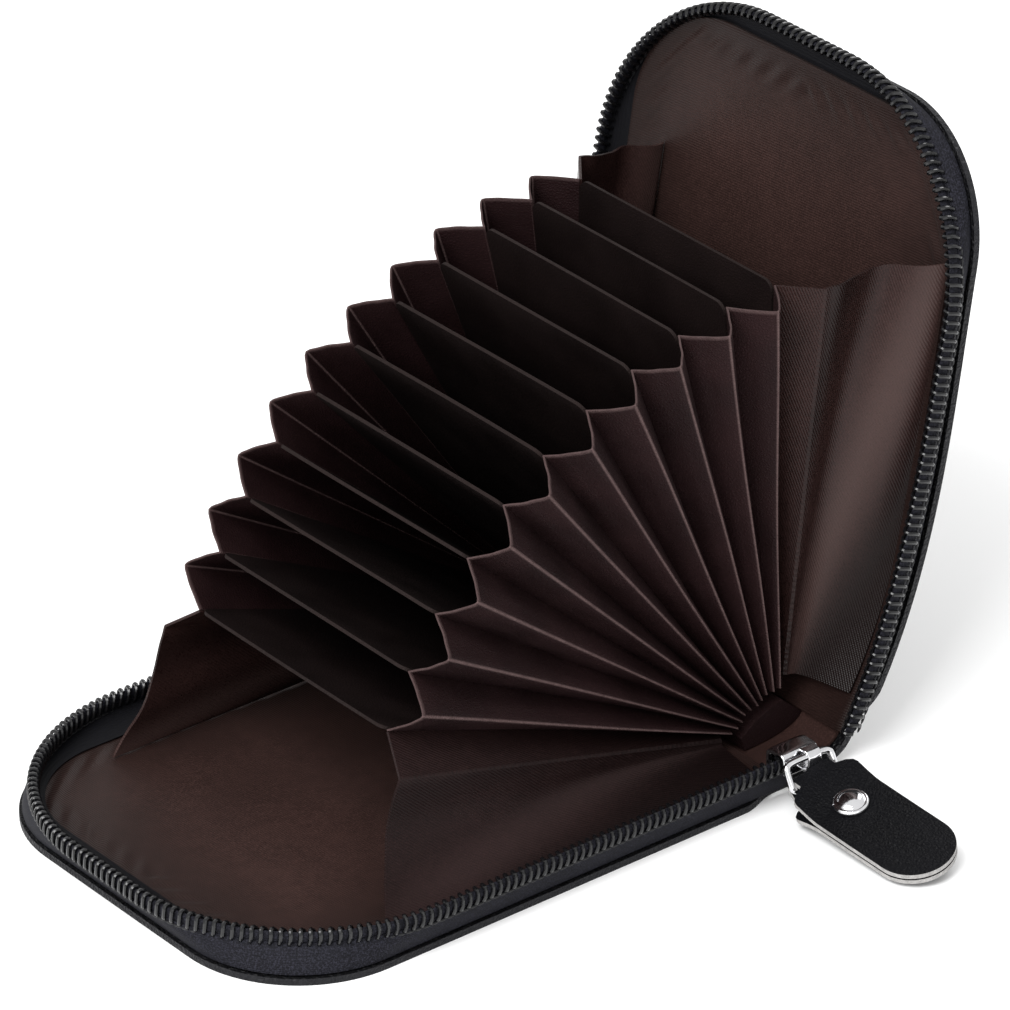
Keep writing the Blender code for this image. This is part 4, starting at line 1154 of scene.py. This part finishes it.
@dataclass
class EndWalls:
    """The side walls of the two end compartments, between an outermost leaf and its cover.

    Attributes:
        leaf: number of the outermost leaf.
        joint: the fold that closes the compartment; not used.
        advance: how far each foot's mouth runs ahead of the leaf's.
        foot_inset: how far each foot stands inside the cover's edge.
        bulge: how far the ridge's mouth runs ahead.
        ripple: depth of the waves below the ridge.
    """

    layout: Layout
    accordion: Accordion
    cover: Cover
    leaf: int
    joint: str
    advance: dict[Side, float]
    foot_inset: dict[Side, float]
    bulge: float
    ripple: float
    cloth: dict[Side, Material]
    thickness: float = 0.45
    start: float = 4.0
    ridge_drop: float = 4.6
    clearance: float = 0.25
    kept_height: float = 0.04

    def sheet(self, side: Side) -> tuple[Array, Array]:
        """The wall as lines from the leaf over ridge and crease to the foot, with softened corners.

        Args:
            side: which of the two walls.

        Returns:
            The grid in the cover's frame, and each line's distance from the leaf's foot.
        """
        acc, cover = self.accordion, self.cover
        back = cover.place.inverted()
        foot = turned(acc.feet[self.leaf], back)
        way = turned(acc.feet[self.leaf] + acc.directions[self.leaf], back) - foot
        reach = np.linspace(self.start, acc.length - 0.3, 34)
        travel = (reach - self.start) / (reach[-1] - self.start)
        leaf = foot + reach[:, None] * way
        ahead = leaf[:, 0] - self.advance[side] * travel
        floor = cover.lining_top + self.clearance - cover.bow_at(ahead)
        top = leaf[:, 2] - acc.thickness / 2 - self.clearance
        ridge = top - np.minimum(self.ridge_drop * reach / acc.length, 0.3 * (top - floor))
        sign = side.value if cover.prefix == "lower" else -side.value
        half, depth = acc.width / 2, acc.depth_at(reach)
        outset = self.layout.cover_width / 2 - self.foot_inset[side]
        proud = leaf[:, 0] - self.bulge * travel
        lead = proud - (self.advance[side] - self.bulge) * travel * 0.4
        seam = stacked(leaf[:, 0], sign * (half + 0.3), top)
        fold = stacked(proud, sign * (half + depth), ridge)
        kink = stacked(lead, sign * (half + depth - 0.4), (floor + ridge) / 2)
        low = stacked(ahead, sign * outset, floor)
        return softened(np.stack([seam, fold, fold, kink, low], axis=1)), reach

    def build_side(self, side: Side) -> None:
        """One wall, with slanting ripples beyond its ridge, and marks for a painted satin highlight band between
        two patches of painted shade.
        """
        grid, reach = self.sheet(side)
        travel = ((reach - self.start) / (reach[-1] - self.start))[:, None]
        across = np.linspace(0.0, 1.0, grid.shape[1])[None, :]
        slant = (2.6 * across - 0.75 * travel + 0.1) * np.pi
        wave = (np.sin(2 * slant) + 0.2 * np.sin(5 * slant)) * np.sin(np.pi * held(2.0 * across - 1.0))
        grid = grid + grid_normals(grid) * (self.ripple * wave * travel)[..., None]
        sign = side.value if self.cover.prefix == "lower" else -side.value
        inner = grid - grid_normals(grid) * self.thickness * sign
        surface = shell(grid, inner, stacked(reach[:, None], travelled(grid)) / UV_UNIT)
        # Painted shade and highlight: one mark darkens the wall beyond the band and in a patch before it, the
        # other paints a bright satin band across it.
        band = across - 0.36 * travel
        hollow = held((band - 0.64) / 0.10) + 0.8 * bell(band - 0.22, 0.10) * held(travel / 0.3 - 1.2)
        surface.marks["hollow", "POINT"] = np.tile(held(hollow).ravel(), 2)
        surface.marks["gleam", "POINT"] = np.tile(bell(band - 0.56, 0.085).ravel(), 2)
        surface.points = turned(surface.points, self.cover.place)
        name = f"{self.cover.prefix}_gusset_{side.name.lower()}"
        piece = add_piece(name + "_cloth", surface, self.cloth[side], self.cover.body, bevel=0.1)
        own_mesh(piece)
        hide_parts(name)

    def build(self) -> None:
        """Build the near and the far wall."""
        for side in Side:
            self.build_side(side)


@dataclass
class Pull:
    """The slider and its crown, the ring, the folded tab and its rivet."""

    layout: Layout
    finishes: Finishes
    slider_x: float = 1.7
    chain_y: float = -41.7
    face_y: float = -44.0
    slider_low: float = 4.7
    slider_high: float = 8.7
    slider_length: float = 7.2
    slider_arch: float = 1.6
    plate: float = 0.8
    plate_gap: float = 3.0
    crown_depth: float = 2.3
    crown_seat: float = 0.1
    crown_width: float = 3.0
    crown_height: float = 3.9
    crown_strap: float = 0.5
    crown_shift: float = 1.1
    crown_drop: float = 0.9
    crown_rise: float = 3.3
    wire: float = 0.6
    ring_width: float = 10.5
    ring_length: float = 4.6
    ring_lean: float = 30.0
    ring_corner: float = 0.35
    tab_length: float = 29.3
    tab_width: float = 13.5
    neck_width: float = 7.4
    neck_length: float = 1.0
    shoulder: float = 1.8
    layer: float = 0.8
    layer_gap: float = 0.3
    converge: float = 8.0
    yaw: float = 2.5
    roll: float = 13.0
    rest_clearance: float = 0.25
    rivet_from_bar: float = 8.2
    rivet_radius: float = 3.0

    @property
    def pivot(self) -> Array:
        """The ring's upper bar, in world millimetres."""
        y = self.face_y - self.crown_seat - self.crown_depth / 2
        return self.layout.lower_fold + [self.slider_x, y, self.slider_low + self.crown_rise]

    @property
    def bar(self) -> Array:
        """The ring's lower bar."""
        lean = math.radians(self.ring_lean)
        return self.pivot + self.ring_length * np.array([0.0, -math.sin(lean), -math.cos(lean)])

    @property
    def tab_place(self) -> Matrix:
        """The tab's frame: the bar at the origin, turned, tilted and drooping almost to the table."""
        roll = math.radians(self.roll)
        low_edge = self.layer + self.layer_gap / 2 + self.tab_width / 2 * math.sin(roll)
        droop = math.asin((self.bar[2] - low_edge - self.rest_clearance) / self.tab_length)
        turn = Matrix.Rotation(math.radians(self.yaw), 4, "Z") @ Matrix.Rotation(droop, 4, "X")
        return Matrix.Translation(self.bar) @ turn @ Matrix.Rotation(-roll, 4, "Y")

    def add(self, name: str, surface: Surface, body: str, replaced: str, bevel: float = 0.0) -> None:
        """Add a chrome piece."""
        add_piece(name, surface, self.finishes.chrome, body, replaced, bevel)

    def build_slider(self) -> None:
        """The slider: front plate, roof and back plate as one bent strap over the chain.

        Its profile in the YZ plane is a superellipse of the turn, cut off at the plates' feet. Along X the
        profile shrinks towards both ends by the cube of the distance, so the plates look pillowed.
        """
        turn = np.linspace(0.0, np.pi, 41)
        half = (self.plate_gap + self.plate) / 2
        top = self.slider_high - self.plate / 2 - self.slider_arch
        foot = np.linspace(self.slider_low, top, 12)[:-1]
        y = np.repeat([half, -half], len(foot))
        y = np.insert(y, len(foot), half * signed_power(np.cos(turn), 0.45))
        z = np.concatenate([foot, top + self.slider_arch * np.abs(np.sin(turn)) ** 0.6, foot[::-1]])
        along = np.linspace(-1.0, 1.0, 25)[:, None]
        middle = (self.slider_low + self.slider_high) / 2
        shrink = 1.0 - 0.14 * np.abs(along) ** 3
        points = stacked(
            self.slider_x + along * self.slider_length / 2, self.chain_y + y, middle + (z - middle) * shrink,
        )
        surface = plate(points + self.layout.lower_fold, self.plate)
        self.add("slider_strap", surface, "slider", "slider_body", bevel=0.18)

    def build_crown(self) -> None:
        """The eye that holds the ring: a strap bent to a D, from a superellipse of the turn."""
        turn = np.linspace(-np.pi / 2, np.pi / 2, 33)
        along = np.linspace(-1.0, 1.0, 13)[:, None]
        out = (self.crown_depth - self.crown_strap / 2) * np.abs(np.cos(turn)) ** 0.55
        rise = (self.crown_height - self.crown_strap) / 2 * signed_power(np.sin(turn), 0.7)
        points = stacked(
            self.slider_x + self.crown_shift + along * self.crown_width / 2 * (1.0 - 0.15 * np.cos(turn)),
            self.face_y + 0.05 - out + 0.12 * along ** 2,
            self.slider_low + self.crown_rise - self.crown_drop + rise,
        )
        surface = plate(points + self.layout.lower_fold, self.crown_strap)
        self.add("crown_eye", surface, "slider", "slider_crown", bevel=0.12)

    def build_ring(self) -> None:
        """The ring: a wire carried round a rectangle with round corners, a superellipse of the turn."""
        turn = np.linspace(0.0, 2 * np.pi, 72, endpoint=False)
        x = (self.ring_width / 2 - self.wire) * signed_power(np.cos(turn), self.ring_corner)
        z = self.ring_length / 2 * (signed_power(np.sin(turn), self.ring_corner) - 1.0)
        lean = Matrix.Translation(self.pivot) @ Matrix.Rotation(math.radians(-self.ring_lean), 4, "X")
        path = turned(stacked(x, 0.0, z), lean)
        side = np.tile(np.array(lean.to_3x3())[:, 1], (len(path), 1))
        surface = tube(path, np.full((len(path), 2), self.wire), side, 14, closed=True)
        self.add("ring_wire", surface, "ring", "pull_ring")

    def half_tab(self, y: Array) -> Array:
        """Half the tab's width: a neck, round shoulders, straight sides and a half-round tip."""
        neck, half = self.neck_width / 2, self.tab_width / 2
        share = held((-y - self.neck_length) / self.shoulder)
        wide = neck + (half - neck) * np.sqrt(1.0 - (1.0 - share) ** 2)
        return np.minimum(wide, half - corner_loss(-y - (self.tab_length - half), half) + 1e-3)

    def build_tab(self) -> None:
        """One strip folded round the bar: under layer, loop and upper layer, cut to a tongue.

        The middle line runs in the YZ plane, and the half width is a formula of the distance from the bar.
        """
        neck, half = self.neck_width / 2, self.tab_width / 2
        radius = self.wire + 0.25 + self.layer / 2 + neck * math.sin(math.radians(self.roll))
        play = neck * math.sin(math.radians(self.yaw))
        rest = (self.layer + self.layer_gap) / 2
        tip = self.tab_length - half * (1.0 - quarter(16)[::-1])
        body = np.linspace(self.tab_length - half, 0.0, 34)[1:]
        flat = -np.concatenate([tip, body])
        lift = radius + (rest - radius) * smooth(held(-flat / self.converge))
        bend = np.linspace(-np.pi / 2, np.pi / 2, 17)[1:-1]
        y = np.concatenate([flat, play + radius * np.cos(bend), flat[::-1]])[:, None]
        z = np.concatenate([-lift, radius * np.sin(bend), lift[::-1]])[:, None]
        across = edge_shares(21)
        middle = stacked(self.half_tab(np.minimum(y, 0.0)) * across, y, z + 0.10 * np.sin(y / 8.0))
        surface = plate(middle, self.layer, grid_normals(stacked(across, y, z)))
        surface.points = turned(surface.points, self.tab_place)
        leather = self.finishes.tab_leather
        add_piece("tab_leather_strip", surface, leather, "tab", "pull_tab", bevel=0.15)

    def build_rivet(self) -> None:
        """The rivet: a dome with a narrow flange, a shank and a back plate, turned about its axis."""
        top = self.layer + self.layer_gap / 2 + 0.05
        wide = self.rivet_radius
        radii = wide * np.array([0.0, 0.22, 0.42, 0.60, 0.72, 0.80, 0.90, 0.97, 1.0])
        dome = stacked(radii, top + np.array([1.30, 1.27, 1.17, 0.96, 0.70, 0.62, 0.60, 0.42, 0.15]))
        fine = np.linspace(0.0, 8.0, 33)
        cap = stacked(*(np.interp(fine, np.arange(9), dome[:, axis]) for axis in range(2)))
        cap[1:-1] = (cap[:-2] + 2 * cap[1:-1] + cap[2:]) / 4
        under = [[wide * 0.97, top], [1.2, top], [1.2, -top], [1.9, -top], [1.9, -top - 0.35]]
        radius, height = np.concatenate([cap[1:], under]).T[..., None]
        turn = np.linspace(0.0, 2 * np.pi, 48, endpoint=False)
        rings = stacked(radius * np.cos(turn), radius * np.sin(turn), height)
        surface = capped(rings, np.array([[0.0, 0.0, cap[0, 1]], [0.0, 0.0, -top - 0.35]]))
        surface.points = turned(surface.points - [0.0, self.rivet_from_bar, 0.0], self.tab_place)
        self.add("rivet_cap", surface, "tab", "tab_rivet")

    def build(self) -> None:
        """Build every piece of the slider and its pull."""
        self.build_slider()
        self.build_crown()
        self.build_ring()
        self.build_tab()
        self.build_rivet()


@dataclass(frozen=True)
class Studio:
    """Camera, floor and soft lights."""

    target: Triple = (0.02740, 0.0, 0.04426)
    azimuth: float = -38.77
    elevation: float = 29.01
    roll: float = -0.2
    distance: float = 1.1426
    lens: float = 256.02
    floor_edge: float = 4.0
    floor_grey: float = 0.95
    world_strength: float = 0.8

    def add_camera(self) -> None:
        """The camera, on a sphere round the target, at the photograph's angle."""
        turn, rise = math.radians(self.azimuth), math.radians(self.elevation)
        back = Vector((math.sin(turn) * math.cos(rise), -math.cos(turn) * math.cos(rise), math.sin(rise)))
        right = Vector((0, 0, 1)).cross(back).normalized()
        axes = Matrix((right, back.cross(right), back)).transposed()
        axes = axes @ Matrix.Rotation(math.radians(self.roll), 3, "Z")
        data = bpy.data.cameras.new("Camera")
        data.lens = self.lens
        data.clip_end = 20.0
        camera = link_object("Camera", data)
        camera.matrix_world = Matrix.Translation(Vector(self.target) + self.distance * back) @ axes.to_4x4()
        bpy.context.scene.camera = camera

    def add_light(self, name: str, place: Triple, size: float, power: float) -> None:
        """A square area light that looks at the wallet."""
        data = bpy.data.lights.new(name, "AREA")
        data.size = size
        data.energy = power
        light = link_object(name, data)
        light.location = place
        light.rotation_euler = (Vector(self.target) - Vector(place)).to_track_quat("-Z", "Y").to_euler()

    def add_floor(self) -> None:
        """A pale floor far wider than the view, and a pale world."""
        mesh = bpy.data.meshes.new("Floor")
        edge = self.floor_edge
        corners = [(-edge, -edge, 0), (edge, -edge, 0), (edge, edge, 0), (-edge, edge, 0)]
        mesh.from_pydata(corners, [], [(0, 1, 2, 3)])
        material = bpy.data.materials.new("Pale floor")
        material.use_nodes = True
        shader = material.node_tree.nodes["Principled BSDF"]
        shader.inputs["Base Color"].default_value = tint((1.0, 1.0, 1.0), self.floor_grey)
        shader.inputs["Roughness"].default_value = 0.9
        mesh.materials.append(material)
        link_object("Floor", mesh)
        world = bpy.data.worlds.new("Studio world")
        world.use_nodes = True
        sky = world.node_tree.nodes["Background"]
        sky.inputs["Color"].default_value = (1.0, 1.0, 1.0, 1.0)
        sky.inputs["Strength"].default_value = self.world_strength
        bpy.context.scene.world = world

    def build(self) -> None:
        """Set up the studio."""
        self.add_camera()
        self.add_floor()
        self.add_light("Key", (-0.75, -0.25, 0.95), 0.8, 18.0)
        self.add_light("Fill", (-0.35, -0.95, 0.45), 0.8, 1.5)
        self.add_light("Edge", (0.7, 0.35, 0.7), 0.5, 3.0)
        bpy.context.scene.view_settings.view_transform = "Standard"


def main() -> None:
    """Build the wallet piece by piece and report each one."""
    logging.basicConfig(level=logging.INFO)
    layout = Layout()
    Studio().build()
    finishes = Finishes()
    middle = layout.fold_spacing / 2
    lower = Cover(
        layout, finishes, "lower", layout.lower_place, bow=0.0, rim=middle - 1.15, flare=1.0, tails=(1.5, -0.6),
        turn_in=3.2, lining_lift=0.0,
    )
    upper = Cover(
        layout, finishes, "upper", layout.upper_place, bow=5.0, rim=middle - 2.75, flare=2.2, tails=(-0.6, -0.6),
        turn_in=1.2, lining_lift=1.3,
    )
    accordion = Accordion(layout, finishes)
    assemblies = {
        "lower cover": lower,
        "upper cover": upper,
        "leather": LeatherSkin(layout, finishes, upper),
        "accordion": accordion,
        "lower walls": EndWalls(
            layout, accordion, lower, 0, "spine_fold", advance={Side.NEAR: 11.0, Side.FAR: 12.0},
            foot_inset={Side.NEAR: 3.2, Side.FAR: 9.0}, bulge=2.5, ripple=0.4,
            # The lower near wall takes the darker copy of the twill as painted shade.
            cloth={Side.NEAR: finishes.shaded_wall_cloth, Side.FAR: finishes.wall_cloth},
        ),
        "upper walls": EndWalls(
            layout, accordion, upper, 10, "upper_fold", advance={Side.NEAR: 8.0, Side.FAR: 3.0},
            foot_inset={Side.NEAR: 3.0, Side.FAR: 10.0}, bulge=1.5, ripple=1.5,
            cloth={side: finishes.wall_cloth for side in Side},
        ),
        "pull": Pull(layout, finishes),
    }
    for name, assembly in assemblies.items():
        assembly.build()
        LOG.info("built the %s", name)


if __name__ == "__main__":
    main()
